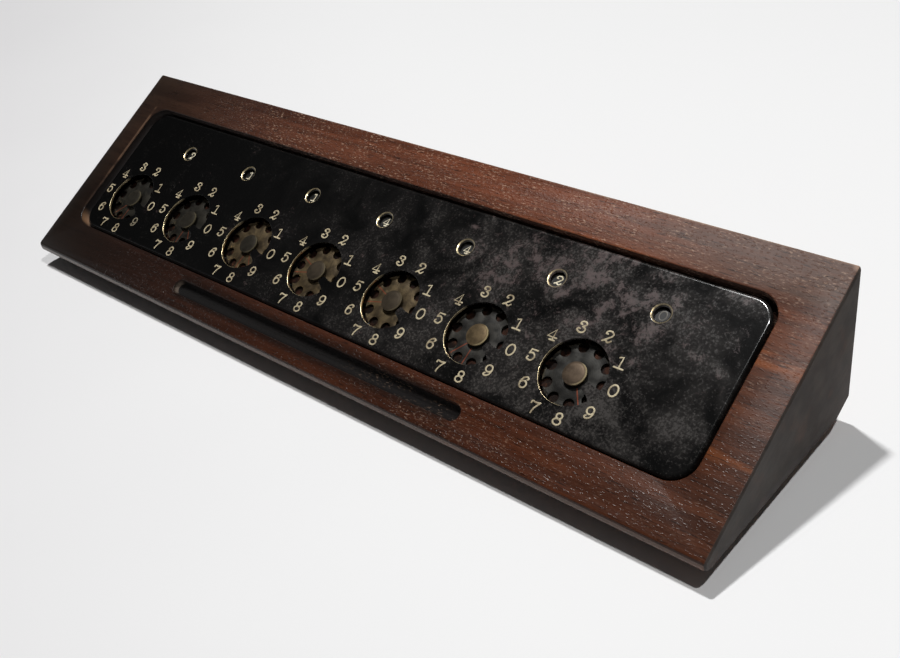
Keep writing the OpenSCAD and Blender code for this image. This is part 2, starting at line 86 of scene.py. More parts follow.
# %% The slope's own frame
DIAL_U, DIAL_S, WHEEL_N = 33.8, 37.3, -4.8
DIAL_PITCH = 40.25
WINDOW_RIGHT, AXLE_UP, WINDOW_UP = 16.95, 20.0, 28.0
CASE_LEN, SLOPE_LEN, FACE_N = 342.2, 98.4, -2.0
CLEAR = 6.0
first_dial = next(j for j in frame["joints"] if j["name"] == "dial_1_turn")
slope_normal = Vector(first_dial["axis"]).normalized()
slope_turn = math.atan2(-slope_normal.y, slope_normal.z)
slope_axes = Matrix.Rotation(slope_turn, 4, "X")
corner = Vector(first_dial["pos_m"]) - slope_axes @ (Vector((DIAL_U, DIAL_S, WHEEL_N)) * MM)
SLOPE = Matrix.Translation(corner) @ slope_axes
to_slope = SLOPE.inverted()
half_len, half_depth = CASE_LEN / 2, SLOPE_LEN * math.cos(slope_turn) / 2


def dial_centre(i):
    return (DIAL_U + DIAL_PITCH * (i - 1), DIAL_S)


print("slope:", round(math.degrees(slope_turn), 2), "degrees")
print("its corner in mm:", [round(c / MM, 2) for c in corner])

# %% [markdown]
# Materials and Geometry Nodes trees are both made of nodes, and both read far better
# as sums than as lists of links. `Value` wraps an output socket, so that an
# expression such as `1 - mask * 0.5` adds the Math nodes that it needs. Every other
# node comes from `add`, which takes its type, its settings and its inputs.

# %% Nodes written as expressions
class Value:
    """A node's output that takes part in sums: each operator adds one Math node."""

    def __init__(self, nodes_of, socket):
        self.nodes_of = nodes_of
        self.socket = socket

    def math(self, operation, *terms):
        return self.nodes_of.math(operation, self, *terms)

    def __add__(self, other):
        return self.math("ADD", other)

    def __sub__(self, other):
        return self.math("SUBTRACT", other)

    def __mul__(self, other):
        return self.math("MULTIPLY", other)

    def __truediv__(self, other):
        return self.math("DIVIDE", other)

    def __rsub__(self, other):
        return self.nodes_of.math("SUBTRACT", other, self)

    def __rtruediv__(self, other):
        return self.nodes_of.math("DIVIDE", other, self)

    def __lt__(self, other):
        return self.math("LESS_THAN", other)

    def __gt__(self, other):
        return self.math("GREATER_THAN", other)

    def __abs__(self):
        return self.math("ABSOLUTE")

    def __mod__(self, other):
        return self.math("FLOORED_MODULO", other)

    __radd__ = __add__
    __rmul__ = __mul__

    def rise(self, low, high):
        """0 below low, 1 above high, a smooth step between."""
        return self.nodes_of.add(
            "ShaderNodeMapRange",
            {"interpolation_type": "SMOOTHSTEP"},
            {"Value": self, "From Min": low, "From Max": high},
        )


class Nodes:
    """The nodes of one tree."""

    def __init__(self, tree):
        self.tree = tree

    def add(self, kind, settings=None, inputs=None, out=0):
        made = self.tree.nodes.new(kind)
        for name, setting in (settings or {}).items():
            setattr(made, name, setting)
        for name, given in (inputs or {}).items():
            self.feed(made.inputs[name], given)
        return Value(self, made.outputs[out])

    def feed(self, socket, given):
        if isinstance(given, Value):
            self.tree.links.new(given.socket, socket)
        elif isinstance(given, list):
            for one in given:
                self.feed(socket, one)
        else:
            socket.default_value = given

    def math(self, operation, *terms):
        return self.add("ShaderNodeMath", {"operation": operation}, dict(enumerate(terms)))


print("operators ready:", [name for name in vars(Value) if name.startswith("__")])

# %% [markdown]
# A finish on an old object is never one colour. `Paint` makes a material whose
# patterns are measured in the slope's millimetres, taken from the piece's own Object
# coordinates, so that they stay on a piece when it turns. Colours are written as the
# eye sees them, 0 to 255, and turned into light values.

# %% A material builder
def tone(red, green, blue):
    """A colour as seen on a screen, as linear light."""
    parts = [c / 255 for c in (red, green, blue)]
    light = [c / 12.92 if c < 0.04045 else ((c + 0.055) / 1.055) ** 2.4 for c in parts]
    return (*light, 1.0)


class Paint(Nodes):
    """One material: patterns on the slope, mixed into one shader."""

    def __init__(self, name):
        self.material = bpy.data.materials.new(name)
        self.material.use_nodes = True
        super().__init__(self.material.node_tree)
        self.tree.nodes.clear()
        output = self.tree.nodes.new("ShaderNodeOutputMaterial")
        self.shader = self.tree.nodes.new("ShaderNodeBsdfPrincipled")
        self.tree.links.new(self.shader.outputs[0], output.inputs["Surface"])
        self.where = self.add(
            "ShaderNodeMapping",
            {"vector_type": "TEXTURE"},
            {
                "Vector": self.add("ShaderNodeTexCoord", out="Object"),
                "Location": corner,
                "Rotation": (slope_turn, 0.0, 0.0),
                "Scale": (MM, MM, MM),
            },
        )

    def slope_place(self):
        """u, s and n of a point of the surface, as three values."""
        separate = self.add("ShaderNodeSeparateXYZ", inputs={0: self.where})
        return [Value(self, out) for out in separate.socket.node.outputs]

    def noise(self, size, stretch=(1, 1, 1), detail=2.0, rough=0.5, bend=0.0):
        """Cloudy pattern, about size mm from blotch to blotch."""
        scaled = self.add(
            "ShaderNodeVectorMath",
            {"operation": "MULTIPLY"},
            {0: self.where, 1: tuple(k / size for k in stretch)},
        )
        return self.add(
            "ShaderNodeTexNoise",
            {},
            {
                "Vector": scaled,
                "Scale": 1.0,
                "Detail": detail,
                "Roughness": rough,
                "Distortion": bend,
            },
        )

    def facing(self):
        """1 where the surface looks out of the slope, 0 on walls."""
        return self.add(
            "ShaderNodeVectorMath",
            {"operation": "DOT_PRODUCT"},
            {0: self.add("ShaderNodeTexCoord", out="Normal"), 1: tuple(slope_normal)},
            out="Value",
        )

    def mix(self, mask, low, high):
        return self.add("ShaderNodeMix", {"data_type": "RGBA"}, {0: mask, 6: low, 7: high}, out=2)

    def ramp(self, value, *stops):
        """The colours of the stops, run through as the value goes from 0 to 1."""
        made = self.add("ShaderNodeValToRGB", inputs={0: value})
        elements = made.socket.node.color_ramp.elements
        while len(elements) < len(stops):
            elements.new(0.5)
        for element, (position, colour) in zip(elements, stops):
            element.position = position
            element.color = colour
        return made

    def bump(self, height, depth, under=None):
        """Relief of depth mm where height goes from 0 to 1."""
        inputs = {"Height": height, "Distance": depth * MM}
        if under is not None:
            inputs["Normal"] = under
        return self.add("ShaderNodeBump", {}, inputs)

    def look(self, **sockets):
        for name, given in sockets.items():
            self.feed(self.shader.inputs[name.replace("_", " ")], given)
        return self.material


def distance(x, y):
    """How far a point lies from where x and y are 0."""
    return (x * x + y * y).math("SQRT")


def from_axle(u, axle_u):
    """How far right of the nearest axle, in a row of them one dial's pitch apart."""
    return (u - axle_u + DIAL_PITCH / 2) % DIAL_PITCH - DIAL_PITCH / 2


print("mid grey 128 is", round(tone(128, 128, 128)[0], 3), "in linear light")

# %% [markdown]
# The case is one block of mahogany under a century of varnish. On the real one the
# grain runs along the block and the pores are short dark dashes. The left is dark,
# where the varnish is thick and flat, and the wood gets redder and paler to the
# right. `along` says how far right a point is, with some drift in it, so that no
# boundary is a straight line.

# %% The wood's colour
WOOD_TONES = (
    (0.00, (66, 50, 39)),
    (0.20, (92, 57, 44)),
    (0.50, (124, 70, 47)),
    (0.75, (132, 71, 44)),
    (1.00, (114, 66, 43)),
)


def wood_colour(p, u, s, along):
    """Grain, streaks and pores, then darkening by place, with painted shade at the back right."""
    grain = p.noise(5.5, (0.05, 1, 1), detail=5, rough=0.62, bend=0.5)
    streak = p.noise(1.6, (0.035, 1, 1), detail=3, rough=0.6)
    pores = p.noise(0.62, (0.09, 1, 1), detail=2).rise(0.57, 0.70)
    body = p.ramp(along, *((place, tone(*shade)) for place, shade in WOOD_TONES))
    deep = p.mix(0.5, body, tone(34, 20, 16))
    colour = p.mix(grain.rise(0.36, 0.66), deep, body)
    colour = p.mix(streak.rise(0.50, 0.78) * 0.45, colour, tone(30, 18, 15))
    orange = p.noise(11, (0.16, 1, 1), detail=3).rise(0.56, 0.70) * u.rise(200, 260)
    colour = p.mix(orange * (1 - s.rise(80, 84)) * 0.7, colour, tone(184, 104, 54))
    # A greyish haze on the back strip at the right: partly the varnish's own haze, partly a
    # painted sheen.
    varnish_haze_and_sheen = s.rise(80, 84) * along.rise(0.58, 0.90)
    colour = p.mix(varnish_haze_and_sheen * 0.35, colour, tone(104, 90, 80))
    colour = p.mix(pores * 0.7, colour, tone(24, 15, 13))
    # Darkening by place, strongest along the front and at the left. Its rise at the back right is
    # painted shade that damps the lamp's sheen there.
    front_darkening = 0.80 - u.rise(20, 120) * 0.08 - u.rise(210, 330) * 0.20
    back_darkening_and_shade = 0.46 - u.rise(10, 140) * 0.44 + u.rise(200, 330) * 0.22
    dark = front_darkening + (back_darkening_and_shade - front_darkening) * s.rise(25, 80)
    return p.mix(dark, colour, tone(9, 6, 5))


print("the wood takes", len(WOOD_TONES), "tones from left to right")

# %% [markdown]
# Use has marked the block in a few places, and each gets a mask; some masks carry
# painted light. Hands have rubbed the back edge and the opening's left edge in patches,
# the back right corner is chipped, and bare wood shows in the opening's lower left
# corner, while the opening's other walls are painted near black as painted shade. The
# front face gets a pale grey-brown that is partly a painted reflection of the floor.
# The groove for the stylus is painted near black as painted shade, but for its worn
# left tip, and a soft painted shade spreads on the wood next to it. Both ends are
# cloudy grey end grain, darkened partly as painted shade. Where the varnish has crazed,
# on the back strip, at the right and along the front, it lies as fine pale specks that
# are partly painted glints. The finish is then a list of masks with what lies there,
# laid over the wood from the first to the last.

# %% Where the block is worn, and where light and shade are painted
OPENING_U = (12.3, 327.3)
GROOVE_U, GROOVE_S = (95.0, 248.0), 9.1


def pale_specks_and_glints(p, u, s):
    """Fine pale specks in clouds where the varnish has crazed: partly dry varnish, partly painted
    glints.
    """
    crazed = p.noise(0.6, (0.35, 1, 1), detail=3, rough=0.6).rise(0.54, 0.66)
    crazed = crazed * p.noise(5, (0.5, 1, 1), detail=3).rise(0.36, 0.60)
    at_back = s.rise(78, 83)
    at_front = 1 - s.rise(14, 17)
    speck_and_glint_places = at_back * u.rise(30, 110) * (1 - u.rise(240, 320) * 0.4)
    speck_and_glint_places = speck_and_glint_places + u.rise(308, 322) * s.rise(25, 70) * (1 - at_back) * 0.55
    speck_and_glint_places = speck_and_glint_places + at_front * u.rise(185, 225) * (1 - u.rise(250, 300) * 0.7) * 0.45
    return crazed * speck_and_glint_places


# The ends: cloudy grey end grain, darker partly by its own grain and partly as painted shade.
def end_grain_with_painted_shade(p):
    cloudy = p.mix(p.noise(9, detail=4).rise(0.35, 0.65), tone(44, 41, 38), tone(60, 56, 52))
    yearly = p.noise(1.9, (0.3, 0.3, 1.4), detail=3, rough=0.6, bend=0.3).rise(0.42, 0.66)
    return p.mix(yearly * 0.35, cloudy, tone(34, 30, 27))


def varnished_mahogany():
    p = Paint("varnished_mahogany")
    u, s, n = p.slope_place()
    along = (u + (p.noise(42, (0.4, 1, 1), detail=2) - 0.5) * 60) / CASE_LEN
    end = (u > CASE_LEN - 0.6) + (u < 0.3)
    hands = p.noise(9, (0.3, 1, 1), detail=3).rise(0.36, 0.58)
    back_edge = s.rise(97.2, 98.2) * (hands * along.rise(0.25, 0.85))
    chip = 1 - distance(u - CASE_LEN, s - SLOPE_LEN).rise(1.4, 3.2)
    inside = (u > OPENING_U[0] - 0.5) * (u < OPENING_U[1] + 0.5)
    inside = inside * s.rise(16.0, 16.5) * (1 - s.rise(81.8, 82.4))
    pocket = (n < -0.3) * (n > -4.8) * inside
    bare = pocket * (1 - u.rise(14.5, 19)) * (1 - s.rise(19.5, 25))
    left_edge = (1 - abs(u - 11.9).rise(0.3, 0.9)) * s.rise(20, 45) * (1 - s.rise(80, 82))
    groove = (0 - n).rise(0.05, 1.5) * (n > -3.6) * (s > 3) * (s < 15)
    groove = groove * (u > GROOVE_U[0] - 0.5) * (u < GROOVE_U[1] + 0.5)
    tip = groove * (1 - u.rise(95.5, 98.5)) * (n > -2.2)
    # A soft painted shade on the wood next to the groove, which softens the groove's dark edge.
    shade_next_to_groove = (1 - abs(s - GROOVE_S).rise(3.5, 6.2)) * u.rise(94, 100) * (1 - u.rise(240, 249))
    colour = wood_colour(p, u, s, along)
    for mask, over in (
        # The front face: a pale grey-brown, partly the wood's own tone and partly a painted
        # reflection of the pale floor.
        ((s < -0.3) * 0.56, tone(108, 94, 86)),
        ((abs(s + 0.05) < 0.3) * 0.6, tone(20, 14, 12)),
        (back_edge * 0.85, tone(190, 162, 142)),
        (chip * 0.6, tone(176, 142, 120)),
        # The opening's walls, painted near black: painted shade in the gap round the plate.
        (pocket * 0.8, tone(16, 11, 10)),
        (bare * 0.7, tone(140, 106, 78)),
        (left_edge * (n > -0.5) * hands * 0.5, tone(120, 92, 72)),
        # The groove, painted near black: painted shade in its hollow.
        (groove * 0.97, tone(4, 3, 3)),
        (tip * 0.7, tone(122, 108, 96)),
        # The ends: grey end grain, partly painted shade.
        (end * 0.9, end_grain_with_painted_shade(p)),
        # Pale specks, partly dry varnish and partly painted glints.
        (pale_specks_and_glints(p, u, s) * (1 - end) * (s > 0.5) * 0.5, tone(208, 174, 148)),
        # Soft painted shade next to the groove.
        (shade_next_to_groove * (n > -0.3) * 0.6, tone(14, 10, 8)),
    ):
        colour = p.mix(mask, colour, over)
    height = 1.3 - u.rise(215, 300) * 0.75 + s.rise(78, 83) * (1 - u.rise(150, 290)) * 1.1
    lively = along.rise(0.02, 0.24) * (1 - end)
    humps = p.noise(0.5, (0.45, 1, 1), detail=2)
    beads = p.noise(0.75, (0.5, 1, 1), detail=1).rise(0.56, 0.72)
    relief = p.bump(beads * lively * height, 0.08, p.bump(humps * lively * height, 0.06))
    flat = u.rise(205, 300) * s.rise(20, 70)
    rough = 0.24 + p.noise(14, detail=3) * 0.10 + flat * 0.18
    rough = rough + pocket * 0.3 + groove * 0.5 + end * 0.25
    return p.look(Base_Color=colour, Roughness=rough, Specular_IOR_Level=0.22, Normal=relief)


case_wood = varnished_mahogany()
print("case finish:", len(case_wood.node_tree.nodes), "nodes")

# %% [markdown]
# Some steps come back for every piece. It is put in the scene, its edges get bevel
# weights and are rounded, its modifiers are turned into a plain mesh, it gets one
# finish, and it is handed to the frame. A bevel follows flat faces only when their
# triangles are dissolved first.

# %% Steps that every piece shares
def in_scene(name, data):
    """An object with that data, in the scene."""
    made = bpy.data.objects.new(name, data)
    bpy.context.scene.collection.objects.link(made)
    return made


def weigh_edges(solid, weight):
    """Dissolves flat faces' triangles, then gives each edge its bevel weight."""
    bmesh.ops.dissolve_limit(
        solid, angle_limit=math.radians(0.5), verts=solid.verts, edges=solid.edges
    )
    weights = solid.edges.layers.float.new("bevel_weight_edge")
    for edge in solid.edges:
        edge[weights] = weight(edge)
    return sum(1 for edge in solid.edges if edge[weights] > 0)


def bevel(made, width, segments, **settings):
    """Rounds edges by so many mm, by their weights unless the settings differ."""
    modifier = made.modifiers.new("rounding", "BEVEL")
    modifier.width = width * MM
    modifier.segments = segments
    modifier.limit_method = "WEIGHT"
    for name, setting in settings.items():
        setattr(modifier, name, setting)


def flat_mesh(source, name):
    """A plain mesh object from what an object's modifiers make."""
    evaluated = source.evaluated_get(bpy.context.evaluated_depsgraph_get())
    mesh = bpy.data.meshes.new_from_object(evaluated)
    bpy.data.objects.remove(source)
    return in_scene(name, mesh)


def coat(made, material):
    """Gives a piece its one finish."""
    made.data.materials.clear()
    made.data.materials.append(material)


def settle(made, body, slot, *replaced):
    """Hands a finished piece to the frame."""
    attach(made, body)
    if replaced:
        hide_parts(*replaced)
    return made


# %% [markdown]
# The case's solid has knife-sharp edges, and the real block is rubbed round: about a
# millimetre outside, twice that at the front left corner, half of it round the
# opening and less along the groove. A bevel on the solid itself would change the kept
# frame, so a merged copy takes it. Every edge gets its weight from where it lies on
# the slope.

# %% The case, with its edges rubbed round
def case_edge(edge):
    """How round an edge of the block is, 0 to 1."""
    if len(edge.link_faces) != 2 or not edge.is_convex or edge.calc_face_angle() < 0.4:
        return 0.0
    middle = (edge.verts[0].co + edge.verts[1].co) / 2
    u, s, n = (to_slope @ middle) / MM
    across = edge.verts[0].co - edge.verts[1].co
    if u < 0.1 or u > CASE_LEN - 0.1 or s < 0.1 or s > SLOPE_LEN - 0.1:
        return 1.0 if u < 0.1 and s < 0.1 and abs(across.x) < 0.1 * across.length else 0.5
    if n > -0.1:
        return 0.22 if s > 14 else 0.16
    return 0.0


def rounded_case():
    mesh = nodes["wooden_case"].data.copy()
    block = bmesh.new()
    block.from_mesh(mesh)
    bmesh.ops.remove_doubles(block, verts=block.verts, dist=2e-6)
    rounded = weigh_edges(block, case_edge)
    for face in block.faces:
        face.smooth = True
    block.to_mesh(mesh)
    block.free()
    made = in_scene("varnished_case", mesh)
    bevel(made, 2.0, 4, use_clamp_overlap=False, harden_normals=True)
    print("case:", len(mesh.polygons), "faces,", rounded, "edges rounded")
    return made


case = flat_mesh(rounded_case(), "varnished_case")
coat(case, case_wood)
settle(case, "case", "case_wood", "wooden_case")
print("rounded case:", len(case.data.polygons), "faces")

# %% [markdown]
# The plate is drawn from sheet brass and black enamelled. Where a tool has cut it,
# at the dial openings and the windows, the brass shows as a bright line. It is painted
# fully only on the sides that catch the light, the lower left of each dial opening and
# the left of each window, so it is partly a painted highlight. The enamel is nearly
# black at the left. To the right it is peppered with fine grey wear, in clouds, and
# ragged pinkish brown patches lie over the upper right. Both cuts repeat from dial to
# dial, so the finish folds the plate into cells of one dial's width.

# %% Worn black enamel
def worn_enamel():
    p = Paint("worn_black_enamel")
    u, s, _ = p.slope_place()
    x, y = from_axle(u, DIAL_U), s - DIAL_S
    far_x, far_y = from_axle(u, DIAL_U + WINDOW_RIGHT), y - WINDOW_UP
    by_dial = (distance(x, y) < 12.6) * (u < 296)
    far = distance(far_x, far_y)
    by_window = far < 4.2
    right = u.rise(70, 290)
    clouds = p.noise(15, detail=3, rough=0.6, bend=0.5)
    under = p.mix(u.rise(20, 90), tone(3, 3, 3), tone(8, 8, 8))
    black = p.mix(right * clouds.rise(0.3, 0.7), under, tone(42, 40, 39))
    fine = p.noise(0.8, detail=3, rough=0.65)
    low = u.rise(240, 300) * (1 - s.rise(28, 48))
    wear = fine + clouds * 0.6 + right * 0.15 + low * 0.06 - u.rise(292, 306) * 0.04
    pepper = wear.rise(0.90, 1.16)
    grey = 0.26 + u.rise(110, 220) * 0.40 - u.rise(285, 300) * 0.2
    colour = p.mix(pepper * grey, black, tone(74, 70, 67))
    patina = p.noise(6, detail=9, rough=0.82, bend=0.35)
    high = s.rise(30, 60) * u.rise(150, 270) * (1 - u.rise(284, 304) * 0.5)
    blotch = (patina + high * 0.13 + clouds * 0.3).rise(0.77, 0.90)
    colour = p.mix(blotch * 0.6, colour, tone(96, 79, 77))
    facing = p.facing()
    edge = 1 - facing.rise(0.93, 0.98)
    # Brass at the cut edges, painted fully only on the side that catches the light: partly the
    # brass, partly a painted highlight.
    dial_cut_brass_and_highlight = by_dial * (x * -0.85 - y * 0.53).rise(3.0, 8.0)
    window_cut_brass_and_highlight = far.rise(3.0, 3.3) * (0.28 + (far_x * -0.9 - far_y * 0.3).rise(1.0, 2.6) * 0.72)
    cut = edge * (dial_cut_brass_and_highlight + by_window * window_cut_brass_and_highlight).math("MINIMUM", 1.0)
    colour = p.mix(cut, colour, tone(236, 216, 172))
    rough = 0.17 + pepper * 0.14 + blotch * 0.22 + cut * 0.12
    relief = p.bump(fine, 0.010, p.bump(clouds, 0.10))
    uncut = (1 - by_dial) * (1 - by_window)
    right_rim = u.rise(305.5, 309) * (1 - s.rise(66, 74))
    gloss = (1 - facing.rise(0.985, 0.999)) * uncut * (1 - right_rim * 0.85)
    return p.look(
        Base_Color=colour,
        Roughness=rough,
        Metallic=cut,
        Specular_IOR_Level=0.3,
        Coat_Weight=gloss,
        Coat_Roughness=0.17,
        Normal=relief,
    )


enamel = worn_enamel()
print("plate finish:", len(enamel.node_tree.nodes), "nodes")

# %% [markdown]
# The packed plate comes in four lengths, because its collision pieces follow the dial
# openings better so. The real plate is one sheet, and a hairline across the enamel
# would show. A merged copy is closed up again: the two faces at each hairline go, and
# the rims that they leave are drawn together and welded. The edges that the tools cut
# get a narrow rounding, which is what catches the light there.

# %% One whole plate
SEAM_RIGHT, SEAM = 22.5, 0.04


def plate_edge(edge):
    """1 for an edge that a tool has cut in the plate's face, 0 for any other."""
    if not edge.is_convex or len(edge.link_faces) != 2 or edge.calc_face_angle() <= 0.5:
        return 0.0
    low = min((to_slope @ v.co).z / MM for v in edge.verts)
    return 1.0 if low > FACE_N - 0.7 else 0.0


def whole_plate():
    mesh = nodes["face_plate"].data.copy()
    sheet = bmesh.new()
    sheet.from_mesh(mesh)
    for left_dial in (2, 4, 6):
        seam = (dial_centre(left_dial)[0] + SEAM_RIGHT + SEAM / 2) * MM
        near = [v for v in sheet.verts if abs((to_slope @ v.co).x - seam) < 0.03 * MM]
        rim = set(near)
        ends = [f for f in sheet.faces if all(v in rim for v in f.verts)]
        bmesh.ops.delete(sheet, geom=ends, context="FACES")
        for vert in [v for v in near if v.is_valid]:
            place = to_slope @ vert.co
            place.x = seam
            vert.co = SLOPE @ place
    bmesh.ops.remove_doubles(sheet, verts=sheet.verts, dist=4e-6)
    rounded = weigh_edges(sheet, plate_edge)
    open_edges = sum(1 for edge in sheet.edges if not edge.is_manifold)
    sheet.to_mesh(mesh)
    sheet.free()
    made = in_scene("whole_plate", mesh)
    bevel(made, 0.12, 3)
    print("plate:", rounded, "edges rounded,", open_edges, "left open")
    return made


plate = flat_mesh(whole_plate(), "enamelled_plate")
plate.data.set_sharp_from_angle(angle=math.radians(50))
for polygon in plate.data.polygons:
    polygon.use_smooth = abs(polygon.normal @ slope_normal) < 0.9999
coat(plate, enamel)
settle(plate, "case", "black_enamel", "face_plate")
print("rounded plate:", len(plate.data.polygons), "faces")

# %% [markdown]
# The figures are stamped into the plate and filled with cream paint. Each is a few
# pen strokes of one width with round ends. A font would bring its own shapes, so the
# strokes are drawn here as lines, smoothed through their points, with the box of the
# 0 as the unit: 1.5 mm to each side and 1.98 mm up and down.

# %% The ten figures as pen strokes
def loop(x, y, half_width, half_height):
    """A closed oval stroke."""
    steps = 20
    turn = 2 * math.pi / steps
    points = [
        (x + half_width * math.cos(k * turn), y + half_height * math.sin(k * turn))
        for k in range(steps)
    ]
    return {"points": points, "closed": True}


def curl(*points):
    """A smooth stroke through the points."""
    ends = [points[0], *points, points[-1]]
    smooth = []
    for a, b, c, d in zip(ends, ends[1:], ends[2:], ends[3:]):
        for t in (0.0, 0.25, 0.5, 0.75):
            smooth.append(
                tuple(
                    0.5 * (2 * q + (r - p) * t + (2 * p - 5 * q + 4 * r - o) * t**2
                           + (3 * q - p - 3 * r + o) * t**3)
                    for p, q, r, o in zip(a, b, c, d)
                )
            )
    return {"points": [*smooth, points[-1]], "closed": False}


def straight(*points):
    """A stroke with corners."""
    return {"points": list(points), "closed": False}


six = [
    curl((0.75, 1.1), (1.15, 1.5), (0.4, 1.98), (-0.8, 1.35), (-1.3, 0.0), (-1.25, -0.75)),
    loop(0.0, -0.75, 1.25, 1.22),
]
FIGURES = {
    0: [loop(0, 0, 1.5, 1.98)],
    1: [straight((-1.1, 1.5), (0.1, 1.95), (0.1, -1.98)), straight((-1.5, -1.98), (1.7, -1.98))],
    2: [
        curl(
            (-0.7, 0.8), (-1.3, 0.95), (-0.9, 1.8), (0.4, 1.95), (1.3, 1.0), (0.5, -0.2),
            (-1.4, -1.8)
        ),
        curl((-1.4, -1.8), (-0.4, -1.4), (0.6, -1.95), (1.5, -1.2)),
    ],
    3: [
        curl((-0.55, 0.8), (-1.2, 1.0), (-0.75, 1.85), (0.45, 1.9), (1.1, 1.1), (0.1, 0.2)),
        curl(
            (0.1, 0.2), (1.3, -0.5), (1.0, -1.65), (-0.2, -1.98), (-1.35, -1.4), (-1.2, -0.75),
            (-0.55, -0.8)
        ),
    ],
    4: [
        straight((0.5, -1.98), (0.5, 1.98), (-1.7, -0.95), (1.75, -0.95)),
        straight((-0.5, -1.98), (1.4, -1.98)),
    ],
    5: [
        straight((1.4, 1.9), (-0.9, 1.9), (-1.1, 0.35)),
        curl((-1.1, 0.35), (0.2, 0.75), (1.35, -0.5), (0.4, -1.95), (-1.2, -1.6), (-1.0, -0.9)),
    ],
    6: six,
    7: [
        curl((-1.6, 1.2), (-1.45, 1.85), (0.0, 1.7), (1.5, 1.95)),
        curl((1.5, 1.95), (0.5, 0.4), (0.0, -0.9), (-0.1, -1.98)),
    ],
    8: [loop(0, 1.0, 1.05, 0.95), loop(0, -0.95, 1.35, 1.05)],
    9: [
        {"points": [(-x, -y) for x, y in stroke["points"]], "closed": stroke["closed"]}
        for stroke in six
    ],
}
print("strokes per figure:", {k: len(v) for k, v in FIGURES.items()})

# %% [markdown]
# Geometry Nodes turns the strokes into inlay. The tree sweeps a flattened ring along
# each line, which gives one even width however the line bends, and it takes its two
# sizes as named inputs. A stroke's round end comes from the radius of its last
# points, which shrinks as a half circle does.

# %% A tree that sweeps an inlay along its strokes
def new_tree(name, sizes):
    """A Geometry Nodes tree with a Geometry input, the named inputs, and an output."""
    tree = bpy.data.node_groups.new(name, "GeometryNodeTree")
    tree.interface.new_socket("Geometry", in_out="INPUT", socket_type="NodeSocketGeometry")
    for title, kind in sizes.items():
        tree.interface.new_socket(title, in_out="INPUT", socket_type="NodeSocket" + kind)
    tree.interface.new_socket("Geometry", in_out="OUTPUT", socket_type="NodeSocketGeometry")
    g = Nodes(tree)
    group = tree.nodes.new("NodeGroupInput")
    given = {socket.name: Value(g, socket) for socket in group.outputs if socket.name}
    return g, given


def end_tree(g, geometry, material):
    """Realizes the instances, sets the material and closes the tree."""
    realized = g.add("GeometryNodeRealizeInstances", inputs={0: geometry})
    finished = g.add("GeometryNodeSetMaterial", inputs={0: realized, "Material": material})
    output = g.tree.nodes.new("NodeGroupOutput")
    g.tree.links.new(finished.socket, output.inputs[0])
    return g.tree


def run_tree(carrier, tree, name, sizes):
    """Runs a tree on an object and gives back the plain mesh that it makes."""
    modifier = carrier.modifiers.new(name, "NODES")
    modifier.node_group = tree
    for socket in tree.interface.items_tree:
        if socket.in_out == "INPUT" and socket.name in sizes:
            modifier[socket.identifier] = sizes[socket.name]
    return flat_mesh(carrier, name)


def inlay_tree():
    g, given = new_tree(
        "inlay_along_strokes",
        {"Half width": "Float", "Height": "Float", "Material": "Material"},
    )
    upright = g.add("GeometryNodeSetCurveNormal", {"mode": "Z_UP"}, {0: given["Geometry"]})
    ring = g.add("GeometryNodeCurvePrimitiveCircle", {}, {"Resolution": 10, "Radius": 1.0})
    section = g.add(
        "ShaderNodeCombineXYZ", {}, {0: given["Half width"], 1: given["Height"], 2: 1.0}
    )
    ring = g.add("GeometryNodeTransform", {}, {"Geometry": ring, "Scale": section})
    swept = g.add(
        "GeometryNodeCurveToMesh",
        {},
        {
            "Curve": upright,
            "Profile Curve": ring,
            "Scale": g.add("GeometryNodeInputRadius"),
            "Fill Caps": True,
        },
    )
    smooth = g.add("GeometryNodeSetShadeSmooth", {}, {0: swept, "Shade Smooth": True})
    return end_tree(g, smooth, given["Material"])


INLAY = inlay_tree()
print("inlay tree:", len(INLAY.nodes), "nodes")

# %% Strokes set out on the slope
def add_strokes(curve, figure, centre, turn, scale, half_width, level):
    """Adds one figure's strokes to a curve, on the slope, in metres."""
    cos_turn, sin_turn = math.cos(turn), math.sin(turn)

    def placed(x, y):
        x, y = x * scale[0], y * scale[1]
        return (
            (centre[0] + x * cos_turn - y * sin_turn) * MM,
            (centre[1] + x * sin_turn + y * cos_turn) * MM,
            level * MM,
            1.0,
        )

    for stroke in FIGURES[figure]:
        points = [(x, y, 1.0) for x, y in stroke["points"]]
        if not stroke["closed"]:
            points = rounded_end(points[::-1], half_width / scale[0])[::-1]
            points = rounded_end(points, half_width / scale[0])
        spline = curve.splines.new("POLY")
        spline.points.add(len(points) - 1)
        for point, (x, y, radius) in zip(spline.points, points):
            point.co = placed(x, y)
            point.radius = radius
        spline.use_cyclic_u = stroke["closed"]


def rounded_end(points, half_width):
    """Lengthens a line's end by its half width, narrowing as a half circle."""
    (x0, y0, _), (x1, y1, _) = points[-2:]
    length = math.hypot(x1 - x0, y1 - y0)
    way = ((x1 - x0) / length * half_width, (y1 - y0) / length * half_width)
    tip = [
        (x1 + way[0] * t, y1 + way[1] * t, math.sqrt(max(0.0, 1 - t * t)) + 0.02)
        for t in (0.4, 0.75, 0.93, 1.0)
    ]
    return points + tip


def stroke_object(name):
    curve = bpy.data.curves.new(name, "CURVE")
    curve.dimensions = "3D"
    return in_scene(name, curve)


def inlaid(carrier, half_width, height, material, name):
    """Runs the inlay tree and puts the result on the slope."""
    sizes = {"Half width": half_width * MM, "Height": height * MM, "Material": material}
    made = run_tree(carrier, INLAY, name, sizes)
    made.data.transform(SLOPE)
    return made


print("a stroke's end takes", len(rounded_end([(0, 0, 1), (1, 0, 1)], 0.4)) - 2, "more points")

